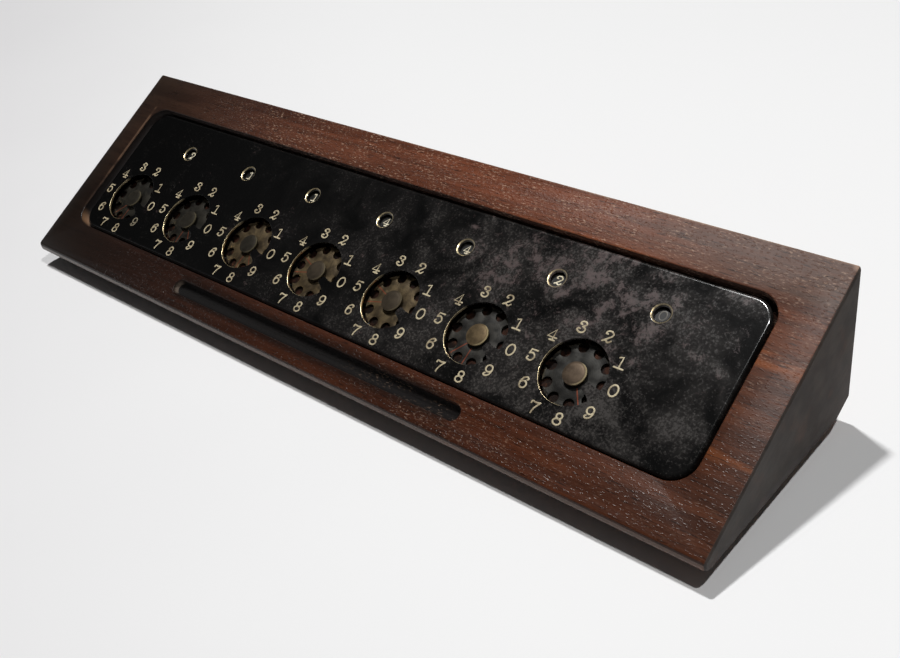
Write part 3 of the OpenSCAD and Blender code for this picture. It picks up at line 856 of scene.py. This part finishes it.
# %% [markdown]
# The paint in the figures has yellowed to a brassy cream and is dirty in places, so
# its colour wanders between the two. Round each dial the ten figures stand upright on
# a ring of 16.1 mm, a little left of the dial's centre and below it. The angles
# aren't quite even on the real plate, because each figure was punched by hand, and
# that unevenness is kept. The first dial's 9 is rubbed nearly away.

# %% Figures round the seven dials
def aged_cream(name, clean, dirty, rubbed_at=None):
    p = Paint(name)
    dirt = p.noise(3.4, detail=4, rough=0.6).rise(0.42, 0.74)
    colour = p.mix(dirt, clean, dirty)
    if rubbed_at:
        u, s, _ = p.slope_place()
        near = distance(u - rubbed_at[0], s - rubbed_at[1]) < 3.0
        colour = p.mix(near * 0.65, colour, tone(58, 54, 48))
    return p.look(
        Base_Color=colour,
        Roughness=0.42 + dirt * 0.25,
        Normal=p.bump(p.noise(0.4, detail=2), 0.012),
    )


FIGURE_RING, RING_SHIFT = 16.1, -0.4
FIGURE_ANGLES = (-2, 32.5, 71, 107.5, 143.5, 178, 213.5, 250, 285, 322)
FIRST_NINE = (46.1, 27.0)
cream = aged_cream("cream_figures", tone(196, 182, 150), tone(128, 112, 84), FIRST_NINE)
strokes = stroke_object("plate_strokes")
for i in range(1, 8):
    u, s = (middle + RING_SHIFT for middle in dial_centre(i))
    for figure, degrees in enumerate(FIGURE_ANGLES):
        a = math.radians(degrees)
        centre = (u + FIGURE_RING * math.cos(a), s + FIGURE_RING * math.sin(a))
        add_strokes(strokes.data, figure, centre, 0.0, (1, 1), 0.31, FACE_N)
figures = inlaid(strokes, 0.31, 0.035, cream, "dial_figures")
settle(figures, "case", "black_enamel")
print("plate figures:", len(figures.data.polygons), "faces")

# %% [markdown]
# Under each window turns a small black disc with the ten figures round it. A dial
# turned clockwise adds, and its disc turns the other way, so the figures run
# clockwise round the disc. The one in the window stands upright, and the others
# point their heads outwards. Each disc's figures are a piece that rides with it.

# %% Figures on the number discs
SHOWN = (2, 1, 1, 4, 4, 2, 0)
DISC_TOP_N, DISC_RING = -3.7, 8.0
clean = aged_cream("window_figures", tone(242, 232, 204), tone(196, 184, 150))
faded = aged_cream("faded_figures", tone(96, 92, 84), tone(56, 54, 50))
for i, shown in enumerate(SHOWN, 1):
    u, s = dial_centre(i)
    strokes = stroke_object(f"disc_strokes_{i}")
    for k in range(10):
        a = math.radians(90 - 36 * k)
        centre = (
            u + WINDOW_RIGHT + DISC_RING * math.cos(a),
            s + AXLE_UP + DISC_RING * math.sin(a),
        )
        turn = a - math.pi / 2
        add_strokes(strokes.data, (shown + k) % 10, centre, turn, (0.845, 0.81), 0.25, DISC_TOP_N)
    made = inlaid(strokes, 0.25, 0.02, clean if i < 7 else faded, f"disc_figures_{i}")
    settle(made, f"number_{i}", "number_black")
print("disc figures:", len(made.data.polygons), "faces on each disc")

# %% [markdown]
# A dial is a stamped wheel with ten round notches for the stylus. Each notch breaks
# through the rim, so the outline is a rule: a notch arc, then a rim arc, ten times.
# The tree numbers the points of a circle and moves each one to its place on that
# outline. The two arcs meet where the notch's circle crosses the rim's, which a
# triangle of the three radii gives. Filling it round the bore and extruding it makes
# the sheet, and a narrow bevel takes the burr off its edges.

# %% A tree for a notched wheel
def notched_wheel_tree(notch_points=13, rim_points=5):
    g, given = new_tree(
        "notched_wheel",
        {
            "Rim radius": "Float",
            "Notch ring": "Float",
            "Notch radius": "Float",
            "Notches": "Int",
            "First notch": "Float",
            "Bore radius": "Float",
            "Thickness": "Float",
            "Material": "Material",
        },
    )
    rim, ring, notch = given["Rim radius"], given["Notch ring"], given["Notch radius"]
    per_notch = notch_points + rim_points
    index = g.add("GeometryNodeInputIndex")
    sector = (index / per_notch).math("FLOOR")
    step = index - sector * per_notch
    pitch = 2 * math.pi / given["Notches"]
    crossing = ((rim * rim - ring * ring - notch * notch) / (2 * ring * notch)).math("ARCCOSINE")
    lip = (notch * crossing.math("SINE")).math("ARCTAN2", ring + notch * crossing.math("COSINE"))
    notch_turn = -1 * crossing - step / (notch_points - 1) * (2 * math.pi - 2 * crossing)
    notch_x = ring + notch * notch_turn.math("COSINE")
    notch_y = notch * notch_turn.math("SINE")
    rim_turn = lip + (pitch - 2 * lip) * (step - (notch_points - 1)) / (rim_points + 1)
    rim_x = rim * rim_turn.math("COSINE")
    rim_y = rim * rim_turn.math("SINE")
    in_notch = step < notch_points - 0.5
    x = in_notch * notch_x + (1 - in_notch) * rim_x
    y = in_notch * notch_y + (1 - in_notch) * rim_y
    turn = given["First notch"] + sector * pitch
    cosine, sine = turn.math("COSINE"), turn.math("SINE")
    place = g.add("ShaderNodeCombineXYZ", {}, {0: x * cosine - y * sine, 1: x * sine + y * cosine})
    circle = g.add(
        "GeometryNodeCurvePrimitiveCircle", {}, {"Resolution": given["Notches"] * per_notch}
    )
    outline = g.add("GeometryNodeSetPosition", {}, {"Geometry": circle, "Position": place})
    bore = g.add(
        "GeometryNodeCurvePrimitiveCircle", {}, {"Resolution": 48, "Radius": given["Bore radius"]}
    )
    both = g.add("GeometryNodeJoinGeometry", {}, {0: [outline, bore]})
    top = g.add("GeometryNodeFillCurve", {}, {0: both})
    down = g.add("ShaderNodeCombineXYZ", {}, {2: -1 * given["Thickness"]})
    under = g.add(
        "GeometryNodeExtrudeMesh", {}, {"Mesh": top, "Offset": down, "Individual": False}
    )
    under = g.add("GeometryNodeFlipFaces", {}, {0: under})
    sheet = g.add("GeometryNodeJoinGeometry", {}, {0: [top, under]})
    sheet = g.add("GeometryNodeMergeByDistance", {}, {0: sheet, "Distance": 1e-7})
    return end_tree(g, sheet, given["Material"])


WHEEL_TREE = notched_wheel_tree()
print("wheel tree:", len(WHEEL_TREE.nodes), "nodes")

# %% [markdown]
# Round pieces such as stud heads, screws and feet come off a lathe, and so do their
# meshes: an outline of radii and heights is turned about its axis. `softened` rounds
# the outline's corners first, because no turned edge is left sharp.

# %% Turned pieces
def softened(outline, radius):
    """Replaces each corner of an outline by a small round one."""
    soft = [outline[0]]
    for before, here, after in zip(outline, outline[1:], outline[2:]):
        a, b, c = Vector(before), Vector(here), Vector(after)
        reach = min(radius, (a - b).length * 0.45, (c - b).length * 0.45)
        start, end = b + (a - b).normalized() * reach, b + (c - b).normalized() * reach
        for t in (0.0, 0.33, 0.67, 1.0):
            soft.append(tuple(start * (1 - t) ** 2 + b * 2 * t * (1 - t) + end * t**2))
    return [*soft, outline[-1]]


def turned(name, outline, sides=48, ring=False):
    """Turns an outline of (radius, height) in mm about Z. A ring's outline is closed."""
    body = bmesh.new()
    rows = []
    for radius, height in outline:
        if radius < 1e-6:
            rows.append([body.verts.new((0, 0, height * MM))] * sides)
            continue
        rows.append(
            [
                body.verts.new(
                    (
                        radius * MM * math.cos(2 * math.pi * k / sides),
                        radius * MM * math.sin(2 * math.pi * k / sides),
                        height * MM,
                    )
                )
                for k in range(sides)
            ]
        )
    pairs = list(zip(rows, rows[1:])) + ([(rows[-1], rows[0])] if ring else [])
    for upper, lower in pairs:
        for k in range(sides):
            after = (k + 1) % sides
            corners = [upper[k], lower[k], lower[after], upper[after]]
            unique = list(dict.fromkeys(corners))
            if len(unique) > 2:
                body.faces.new(unique)
    bmesh.ops.recalc_face_normals(body, faces=body.faces)
    mesh = bpy.data.meshes.new(name)
    body.to_mesh(mesh)
    body.free()
    return mesh


def shade(mesh, degrees=40):
    """Smooth shading, with edges over that angle kept crisp."""
    for polygon in mesh.polygons:
        polygon.use_smooth = True
    mesh.set_sharp_from_angle(angle=math.radians(degrees))


print("a softened square corner has", len(softened([(0, 0), (1, 0), (1, -1)], 0.2)) - 2, "points")

# %% [markdown]
# The wheels are not all of one metal: three are tan bronze, and four are dark steel,
# the left pair nearly black. All are tarnished, and rubbed lighter at their rims.
# Turning marks run round each wheel, and two thin reddish scratches run out to the
# rim. The patterns are drawn round the wheel's own centre, so each wheel has its own
# material, and a scratch keeps its place on the wheel whatever figure is shown.

# %% Tarnished wheel metal
def wheel_metal(name, i, light, dark, shown):
    p = Paint(name)
    u, s, _ = p.slope_place()
    x, y = u - dial_centre(i)[0], s - dial_centre(i)[1]
    radius = distance(x, y)
    angle = y.math("ARCTAN2", x)
    tarnish = p.noise(4.2, detail=5, rough=0.62, bend=0.4)
    colour = p.mix(tarnish.rise(0.36, 0.66), dark, light)
    rings = (radius * 9 + tarnish * 3).math("SINE") * 0.5 + 0.5
    colour = p.mix(rings * 0.12, colour, tone(20, 18, 16))
    spots = p.noise(1.3, detail=3).rise(0.60, 0.72)
    colour = p.mix(spots * 0.3, colour, tone(34, 27, 22))
    rubbed = radius.rise(10.6, 11.5) * p.noise(3, detail=2).rise(0.4, 0.6)
    colour = p.mix(rubbed * 0.25, colour, tone(150, 136, 110))
    for degrees in (304, 340):
        away = math.radians(degrees - 36 * shown)
        gap = abs((angle - away + math.pi) % (2 * math.pi) - math.pi)
        mark = (1 - (gap * radius).rise(0.1, 0.3)) * radius.rise(4.4, 5.0)
        colour = p.mix(mark * 0.8, colour, tone(132, 66, 44))
    rough = 0.42 + tarnish * 0.25 + spots * 0.12
    relief = p.bump(rings, 0.008, p.bump(p.noise(0.7, detail=3), 0.02))
    return p.look(Base_Color=colour, Roughness=rough, Metallic=0.75, Normal=relief)


BRONZE = (tone(104, 89, 64), tone(68, 57, 41))
STEEL = (tone(64, 62, 58), tone(40, 39, 37))
OLD_STEEL = (tone(54, 51, 44), tone(34, 32, 28))
LAST_STEEL = (tone(56, 55, 52), tone(35, 34, 32))
WHEEL_TONES = (OLD_STEEL, OLD_STEEL, BRONZE, BRONZE, BRONZE, STEEL, LAST_STEEL)
wheel_finish = {
    i: wheel_metal(f"wheel_metal_{i}", i, *tones, shown)
    for i, (tones, shown) in enumerate(zip(WHEEL_TONES, SHOWN), 1)
}
print("wheel finishes:", len(wheel_finish))

# %% The seven dial wheels
BORE, HUB, WHEEL_T = 2.55, 3.4, 1.0


def dial_wheel(i):
    carrier = in_scene("wheel_carrier", bpy.data.meshes.new("wheel_carrier"))
    sizes = {
        "Rim radius": 11.6 * MM,
        "Notch ring": 10.0 * MM,
        "Notch radius": 1.95 * MM,
        "Notches": 10,
        "First notch": math.radians(-2),
        "Bore radius": BORE * MM,
        "Thickness": WHEEL_T * MM,
        "Material": wheel_finish[i],
    }
    sheet = run_tree(carrier, WHEEL_TREE, "wheel_sheet", sizes)
    bevel(sheet, 0.11, 2, limit_method="ANGLE", angle_limit=math.radians(50))
    wheel = flat_mesh(sheet, f"notched_wheel_{i}")
    outline = [(BORE, 0.9), (HUB, 0.9), (HUB, -0.9), (BORE, -0.9)]
    hub = turned("hub", softened(outline, 0.1), 40, ring=True)
    joined = bmesh.new()
    joined.from_mesh(wheel.data)
    joined.from_mesh(hub)
    joined.to_mesh(wheel.data)
    joined.free()
    bpy.data.meshes.remove(hub)
    place = Matrix.Translation(Vector((*dial_centre(i), WHEEL_N)) * MM)
    wheel.data.transform(SLOPE @ place)
    shade(wheel.data, 30)
    coat(wheel, wheel_finish[i])
    slot = "wheel_bronze" if WHEEL_TONES[i - 1] is BRONZE else "wheel_steel"
    return settle(wheel, f"dial_{i}", slot, f"dial_wheel_{i}")


wheels = [dial_wheel(i) for i in range(1, 8)]
print("each wheel:", len(wheels[0].data.polygons), "faces")

# %% [markdown]
# Studs, screws and feet are each made once and set on their places. The places are a
# mesh of loose points. The tree puts the piece on every point, tilts it with the
# surface it stands on, and gives each a turn of its own from a fixed seed, because
# no two screws are ever driven home at the same angle.

# %% A tree that sets a piece on its places
def places_tree():
    g, given = new_tree(
        "piece_on_places",
        {
            "Piece": "Object",
            "Tilt": "Float",
            "Largest turn": "Float",
            "Seed": "Int",
            "Material": "Material",
        },
    )
    piece = g.add("GeometryNodeObjectInfo", {}, {"Object": given["Piece"]}, out="Geometry")
    turn = g.add(
        "FunctionNodeRandomValue",
        {"data_type": "FLOAT"},
        {2: 0.0, 3: given["Largest turn"], 8: given["Seed"]},
        out=1,
    )

    def about(axis, angle):
        return g.add("FunctionNodeAxisAngleToRotation", {}, {"Axis": axis, "Angle": angle})

    stand = g.add(
        "FunctionNodeRotateRotation",
        {"rotation_space": "LOCAL"},
        {"Rotation": about((1, 0, 0), given["Tilt"]), "Rotate By": about((0, 0, 1), turn)},
    )
    placed = g.add(
        "GeometryNodeInstanceOnPoints",
        {},
        {"Points": given["Geometry"], "Instance": piece, "Rotation": stand},
    )
    return end_tree(g, placed, given["Material"])


PLACES_TREE = places_tree()


def set_on_places(name, unit, places, tilt, largest_turn, seed, material):
    """One mesh with the unit piece on every place, in the row frame."""
    points = bpy.data.meshes.new(name + "_places")
    points.from_pydata([tuple(p) for p in places], [], [])
    carrier = in_scene(name + "_places", points)
    sizes = {
        "Piece": unit,
        "Tilt": tilt,
        "Largest turn": largest_turn,
        "Seed": seed,
        "Material": material,
    }
    made = run_tree(carrier, PLACES_TREE, name, sizes)
    shade(made.data)
    bpy.data.objects.remove(unit)
    return made


print("places tree:", len(PLACES_TREE.nodes), "nodes")

# %% [markdown]
# Each dial turns on a stud with a broad, slightly crowned head. The sixth is rubbed to
# an olive brass, the seventh is brown, and the others have gone grey brown, so the
# finish asks which dial a point belongs to. Each head's right rim gets a painted
# highlight, faint on most and stronger on the sixth and seventh. The shank and the
# riveted tail go down through the works, as in the solid.

# %% Stud heads
def tarnished_brass():
    p = Paint("tarnished_brass")
    u, s, _ = p.slope_place()
    x, y = from_axle(u, DIAL_U), s - DIAL_S
    radius = distance(x, y)
    tarnish = p.noise(2.2, detail=5, rough=0.6).rise(0.35, 0.65)
    old = p.mix(u.rise(133, 136), tone(50, 46, 38), tone(70, 61, 49))
    brown = p.mix(u > 255, tone(104, 88, 64), tone(92, 78, 64))
    bright = u > 215
    fresh = p.mix(bright, old, brown)
    colour = p.mix(tarnish, p.mix(0.35, fresh, tone(30, 24, 18)), fresh)
    # A painted highlight on the right rim of each head, faint on most and stronger on the sixth
    # and seventh.
    rim = radius.rise(3.5, 3.9) * (radius < 4.3) * (x + radius * 0.4).rise(1.5, 4.0)
    colour = p.mix(rim * (0.08 + bright * 0.2), colour, tone(236, 218, 170))
    rings = (radius * 14 + tarnish * 0.6).math("SINE") * 0.5 + 0.5
    relief = p.bump(rings, 0.006, p.bump(p.noise(0.6, detail=3), 0.012))
    rough = 0.50 - bright * 0.06 + tarnish * 0.10 + radius.rise(3.2, 3.8) * 0.25
    return p.look(Base_Color=colour, Roughness=rough, Metallic=0.8, Normal=relief)


brass_head = tarnished_brass()
HEAD_TOP_N, CROWN = -2.8, 0.06
head = [(0, CROWN), (1.4, 0.04), (2.8, -0.04), (3.7, -0.16), (4.15, -0.34)]
stem = [(4.15, -0.9), (2.5, -0.9), (2.5, -6.2), (1.6, -6.2), (1.6, -7.4), (2.2, -7.4), (2.2, -8.2)]
outline = head + softened([head[-1], *stem, (0, -8.2)], 0.12)[1:]
stud = in_scene("stud", turned("stud", outline, 48))
places = [SLOPE @ (Vector((*dial_centre(i), HEAD_TOP_N - CROWN)) * MM) for i in range(1, 8)]
studs = set_on_places("stud_heads", stud, places, slope_turn, 6.28, 4, brass_head)
settle(studs, "case", "stud_metal", "dial_studs")
print("studs:", len(studs.data.polygons), "faces on", len(places), "places")

# %% [markdown]
# From below one sees a plain board let into the block, eight brass wood screws and
# four rubber feet. A screw's slot is cut from its turned head with a boolean, once,
# before the tree repeats the screw. The board is softer and paler wood, unvarnished,
# darkened by hands and dust.

# %% Bottom screws, feet and board
def plain_board():
    p = Paint("plain_board")
    grain = p.noise(6, (0.05, 1, 1), detail=5, rough=0.6, bend=0.8)
    pores = p.noise(0.7, (0.08, 1, 1), detail=2).rise(0.56, 0.70)
    colour = p.mix(grain.rise(0.35, 0.66), tone(112, 84, 60), tone(158, 126, 92))
    colour = p.mix(pores * 0.5, colour, tone(70, 50, 36))
    colour = p.mix(p.noise(26, detail=4).rise(0.5, 0.7) * 0.4, colour, tone(88, 70, 56))
    return p.look(Base_Color=colour, Roughness=0.62 + grain * 0.2, Normal=p.bump(pores, 0.03))


def black_rubber():
    p = Paint("black_rubber")
    dust = p.noise(3.5, detail=4).rise(0.45, 0.7)
    colour = p.mix(dust * 0.5, tone(30, 30, 30), tone(74, 71, 67))
    return p.look(Base_Color=colour, Roughness=0.72 + dust * 0.15, Normal=p.bump(dust, 0.02))


def worn_metal(name, light, dark, rough=0.42, grain=0.0):
    """A metal with cloudy tarnish, and with fine brush lines along the case if asked."""
    p = Paint(name)
    tarnish = p.noise(4.5, detail=5, rough=0.6, bend=0.3)
    colour = p.mix(tarnish.rise(0.34, 0.68), dark, light)
    lines = p.noise(0.5, (0.04, 1, 1), detail=2)
    colour = p.mix(lines.rise(0.5, 0.7) * grain, colour, dark)
    spots = p.noise(1.1, detail=3).rise(0.62, 0.74)
    colour = p.mix(spots * 0.35, colour, tone(58, 44, 34))
    relief = p.bump(lines, 0.01 * grain, p.bump(p.noise(0.6, detail=3), 0.012))
    return p.look(Base_Color=colour, Roughness=rough + tarnish * 0.2, Metallic=0.9, Normal=relief)


board = plain_board()
rubber = black_rubber()
screw_brass = worn_metal("screw_brass", tone(176, 148, 98), tone(112, 90, 58), 0.38)
coat(nodes["bottom_board"], board)
outline = [(0, 0), (2.4, 0), (1.15, 1.25), (1.15, 5.2), (0.1, 7.0), (0, 7.0)]
screw = in_scene("wood_screw", turned("wood_screw", softened(outline, 0.08), 32))
bpy.ops.mesh.primitive_cube_add(size=1)
saw = bpy.context.object
saw.scale = (7 * MM, 0.6 * MM, 1.0 * MM)
cut = screw.modifiers.new("slot", "BOOLEAN")
cut.object = saw
bpy.context.view_layer.update()
screw = flat_mesh(screw, "wood_screw")
bpy.data.objects.remove(saw)
places = [
    Vector((x, y - half_depth, CLEAR + 0.5)) * MM
    for x in (-150.57, -51.33, 51.33, 150.57)
    for y in (16.0, 2 * half_depth - 15.5)
]
screws = set_on_places("board_screws", screw, places, 0.0, 3.14, 9, screw_brass)
settle(screws, "case", "screw_brass", "bottom_screws")
outline = [(0, 0), (5.5, 0), (6.5, 6.4), (2.0, 6.4), (2.0, 9.4), (0, 9.4)]
foot = in_scene("foot", turned("foot", softened(outline, 0.7), 48))
places = [
    Vector((x, y - half_depth, 0.0)) * MM
    for x in (-half_len + 37.5, half_len - 37.5)
    for y in (22.0, 2 * half_depth - 20.0)
]
feet = set_on_places("rubber_feet", foot, places, 0.0, 6.28, 2, rubber)
settle(feet, "case", "foot_rubber", "case_feet")
print("screws:", len(screws.data.polygons), "faces; feet:", len(feet.data.polygons), "faces")

# %% [markdown]
# Below the wheels the notches let one see the reddish brass of the dial gears, painted
# much darker than brass as painted shade under the wheels. They are turned before their
# teeth are cut, so fine rings run round each axle. One material serves all seven,
# because it folds the slope into cells one dial wide, and the number gears get the
# same with their own axles.

# %% Gears and discs
def ringed_brass_with_painted_shade(name, axle_u, axle_s):
    p = Paint(name)
    u, s, _ = p.slope_place()
    radius = distance(from_axle(u, axle_u), s - axle_s)
    tarnish = p.noise(3.5, detail=5, rough=0.62, bend=0.4)
    rings = (radius * 11 + tarnish * 4).math("SINE") * 0.5 + 0.5
    # The brass is painted dark, as painted shade, so that the notches read dark.
    colour = p.mix(tarnish.rise(0.40, 0.70), tone(22, 15, 12), tone(70, 42, 30))
    colour = p.mix(rings * 0.2, colour, tone(18, 13, 11))
    colour = p.mix(p.noise(1.2, detail=3).rise(0.60, 0.72) * 0.4, colour, tone(52, 36, 28))
    relief = p.bump(rings, 0.01, p.bump(p.noise(0.6, detail=3), 0.015))
    return p.look(Base_Color=colour, Roughness=0.42 + tarnish * 0.22, Metallic=0.85, Normal=relief)


def black_disc():
    p = Paint("black_disc")
    scuff = p.noise(2.5, detail=5, rough=0.65).rise(0.52, 0.72)
    colour = p.mix(scuff * 0.6, tone(18, 18, 17), tone(56, 54, 50))
    return p.look(Base_Color=colour, Roughness=0.40 + scuff * 0.2, Normal=p.bump(scuff, 0.006))


row_finishes = {
    "dial_gear": ringed_brass_with_painted_shade("dial_gear_brass", DIAL_U, DIAL_S),
    "number_gear": ringed_brass_with_painted_shade("number_gear_brass", DIAL_U + WINDOW_RIGHT, DIAL_S + AXLE_UP),
    "number_disc": black_disc(),
}
for kind, material in row_finishes.items():
    for i in range(1, 8):
        coat(nodes[f"{kind}_{i}"], material)
print("gears and discs:", 7 * len(row_finishes), "nodes with", len(row_finishes), "finishes")

# %% [markdown]
# The works behind the plate are steel: a rolled sheet with its brush lines, turned
# pillars and studs, blued screws, stamped levers, and springs that are as bright as
# their own screws. None of it shows from outside, but a copy of the part can be
# opened, so each kind has its own finish.

# %% The steel works
steels = {
    "movement_plate": worn_metal("rolled_steel", tone(142, 142, 144), tone(92, 91, 92), 0.40, 0.6),
    "plate_pillars": worn_metal("turned_steel", tone(168, 168, 168), tone(112, 110, 108), 0.32),
    "pillar_screws": worn_metal("blued_steel", tone(84, 88, 98), tone(46, 48, 56), 0.36),
    "carry_lever": worn_metal("stamped_steel", tone(130, 130, 132), tone(84, 83, 84), 0.42, 0.3),
    "spring": worn_metal("spring_steel", tone(172, 172, 176), tone(120, 119, 122), 0.28, 0.4),
}
for node in ("number_studs", "lever_studs"):
    steels[node] = steels["plate_pillars"]
steels["movement_screws"] = steels["pillar_screws"]
for node in nodes:
    kind = next((k for k in steels if node.startswith(k)), None)
    if "_spring_" in node:
        kind = "spring"
    if kind:
        coat(nodes[node], steels[kind])
bare = [n for n, o in nodes.items() if not o.data.materials and not o.hide_render]
print("nodes without a finish:", bare)

# %% [markdown]
# A carry spring is a steel leaf, screwed down at its foot, that presses its free end on
# a carry lever. When the lever swings, the free end goes along and the leaf bends. A
# bend needs places to bend at, so a merged copy is sliced across every millimetre.

# %% Carry springs, sliced across
SPRING_FOOT = Vector((-7.0, -3.6, 0.0)) * MM
FOOT_HALF, LEAF_SLICES = 2.2, 12


def bending_spring(i):
    mesh = nodes[f"carry_spring_{i}"].data.copy()
    leaf = bmesh.new()
    leaf.from_mesh(mesh)
    bmesh.ops.remove_doubles(leaf, verts=leaf.verts, dist=1e-6)
    joint = next(j for j in frame["joints"] if j["name"] == f"carry_lever_{i}_swing")
    foot = to_slope @ Vector(joint["pos_m"]) + SPRING_FOOT
    reach = max(((to_slope @ v.co - foot).xy for v in leaf.verts), key=lambda way: way.length)
    way = Vector((*reach.normalized(), 0.0))
    for step in range(LEAF_SLICES):
        bmesh.ops.bisect_plane(
            leaf,
            geom=leaf.verts[:] + leaf.edges[:] + leaf.faces[:],
            plane_co=SLOPE @ (foot + way * (FOOT_HALF + step) * MM),
            plane_no=slope_axes.to_3x3() @ way,
        )
    leaf.to_mesh(mesh)
    leaf.free()
    made = in_scene(f"carry_leaf_{i}", mesh)
    coat(made, steels["spring"])
    shade(mesh, 30)
    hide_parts(f"carry_spring_{i}")
    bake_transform(made)
    return reach.length / MM


lengths = [round(bending_spring(i), 2) for i in range(1, 7)]
print("carry springs, foot to tip in mm:", lengths)

# %% [markdown]
# The photograph was taken on white paper, under two lamps high above it. One stands
# to the left and a little behind: it throws the shadow at the right end. The weaker
# one stands to the right. Their heights come from where the shadows end. The paper is
# a pale floor with a painted light falloff, darker to the left and front and paler to
# the right and back, and the world is a pale band at the horizon with a dim sky, so
# that the black enamel mirrors the dim part and stays black. Lamps this near leave the
# far paper dark, so it glows a little more the farther out it lies.

# %% Floor, lamps and world
GLOW_FROM, GLOW_REACH = 500, 2400


def paper_floor():
    mesh = bpy.data.meshes.new("paper_floor")
    mesh.from_pydata([(-4, -4, 0), (4, -4, 0), (4, 4, 0), (-4, 4, 0)], [], [(0, 1, 2, 3)])
    made = in_scene("paper_floor", mesh)
    p = Paint("white_paper")
    u, s, _ = p.slope_place()
    # Painted light falloff: the paper darker to the left and front, paler to the right and back.
    painted_light_falloff = ((u - half_len) * 0.58 + s * 0.8 + p.noise(90, detail=2) * 40).rise(-240, 100)
    colour = p.mix(painted_light_falloff, tone(226, 225, 226), tone(245, 245, 245))
    away = (distance(u - half_len, s) - GLOW_FROM).math("MAXIMUM", 0) / GLOW_REACH
    falling = away * away + 1
    glow = p.mix(1 - 1 / (falling * falling), tone(0, 0, 0), tone(240, 240, 240))
    paper = p.look(
        Base_Color=colour,
        Roughness=0.9,
        Specular_IOR_Level=0.1,
        Emission_Color=glow,
        Emission_Strength=1.0,
    )
    mesh.materials.append(paper)
    made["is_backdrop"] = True


def lamp(name, towards, distance_m, width, share):
    """A soft square lamp that gives a level floor that share of full white."""
    data = bpy.data.lights.new(name, "AREA")
    data.shape = "SQUARE"
    data.size = width
    way = Vector(towards).normalized()
    data.energy = share * math.pi**2 * distance_m**2 / way.z
    made = in_scene(name, data)
    made.location = way * distance_m
    made.rotation_euler = way.to_track_quat("Z", "Y").to_euler()
    return round(data.energy, 2)


def dim_sky():
    world = bpy.data.worlds.new("dim_sky")
    bpy.context.scene.world = world
    world.use_nodes = True
    world.node_tree.nodes.clear()
    w = Nodes(world.node_tree)
    way = w.add("ShaderNodeTexCoord", out="Generated")
    height = w.add("ShaderNodeSeparateXYZ", {}, {0: way}, out=2)
    seen = w.add("ShaderNodeLightPath", out="Is Camera Ray")
    mirrored = w.add("ShaderNodeLightPath", out="Is Glossy Ray")
    through = w.add("ShaderNodeLightPath", out="Is Transmission Ray")
    backdrop = (seen + (mirrored + through) * (1 - height.rise(0.05, 0.28))).math("MINIMUM", 1.0)
    level = backdrop * 0.955 + 0.045
    colour = w.add("ShaderNodeCombineXYZ", {}, {0: level, 1: level, 2: level})
    sky = w.add("ShaderNodeBackground", {}, {"Color": colour, "Strength": 1.0})
    output = world.node_tree.nodes.new("ShaderNodeOutputWorld")
    world.node_tree.links.new(sky.socket, output.inputs[0])


paper_floor()
left_watts = lamp("left_lamp", (-0.24, 0.13, 1.0), 2.9, 0.15, 0.64)
right_watts = lamp("right_lamp", (0.39, 0.0, 1.0), 1.41, 0.06, 0.31)
dim_sky()
print("lamps:", left_watts, "and", right_watts, "watts")

# %% [markdown]
# The camera was worked out from the photograph: the case's edges, the dials and the
# windows fix where it stood and how long its lens was. Its three axes are the
# picture's right, up and backward directions in the row frame.

# %% Camera
def photograph_camera():
    data = bpy.data.cameras.new("camera")
    data.lens, data.sensor_width = 44.13, 36.0
    data.clip_start, data.clip_end = 0.01, 20.0
    made = in_scene("camera", data)
    right = Vector((0.74441, 0.65545, -0.12745))
    up = Vector((-0.29879, 0.49768, 0.81427))
    back = Vector((0.59714, -0.56807, 0.56632))
    turn = Matrix((right, up, back)).transposed().to_4x4()
    eye = Vector((448.79 - half_len, -181.14 - half_depth, 232.18 + CLEAR)) * MM
    made.matrix_world = Matrix.Translation(eye) @ turn
    bpy.context.scene.camera = made
    return eye


eye = photograph_camera()
bpy.context.scene.view_settings.view_transform = "Standard"
print("camera stands", round(eye.length, 3), "m from the middle of the case")

# %% [markdown]
# Last, the dressed part is measured against the solids. Rounded edges only take
# material away: the rounded back edge is 0.35 mm lower than the sharp one, and in
# length and depth the two boxes agree within hundredths of a millimetre.

# %% Size
made_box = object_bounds()
size = {"cad": [list(c) for c in cad_box], "visual": [list(c) for c in made_box]}
for name, (low, high) in size.items():
    print(name, "box in mm:", [round((b - a) / MM, 2) for a, b in zip(low, high)])
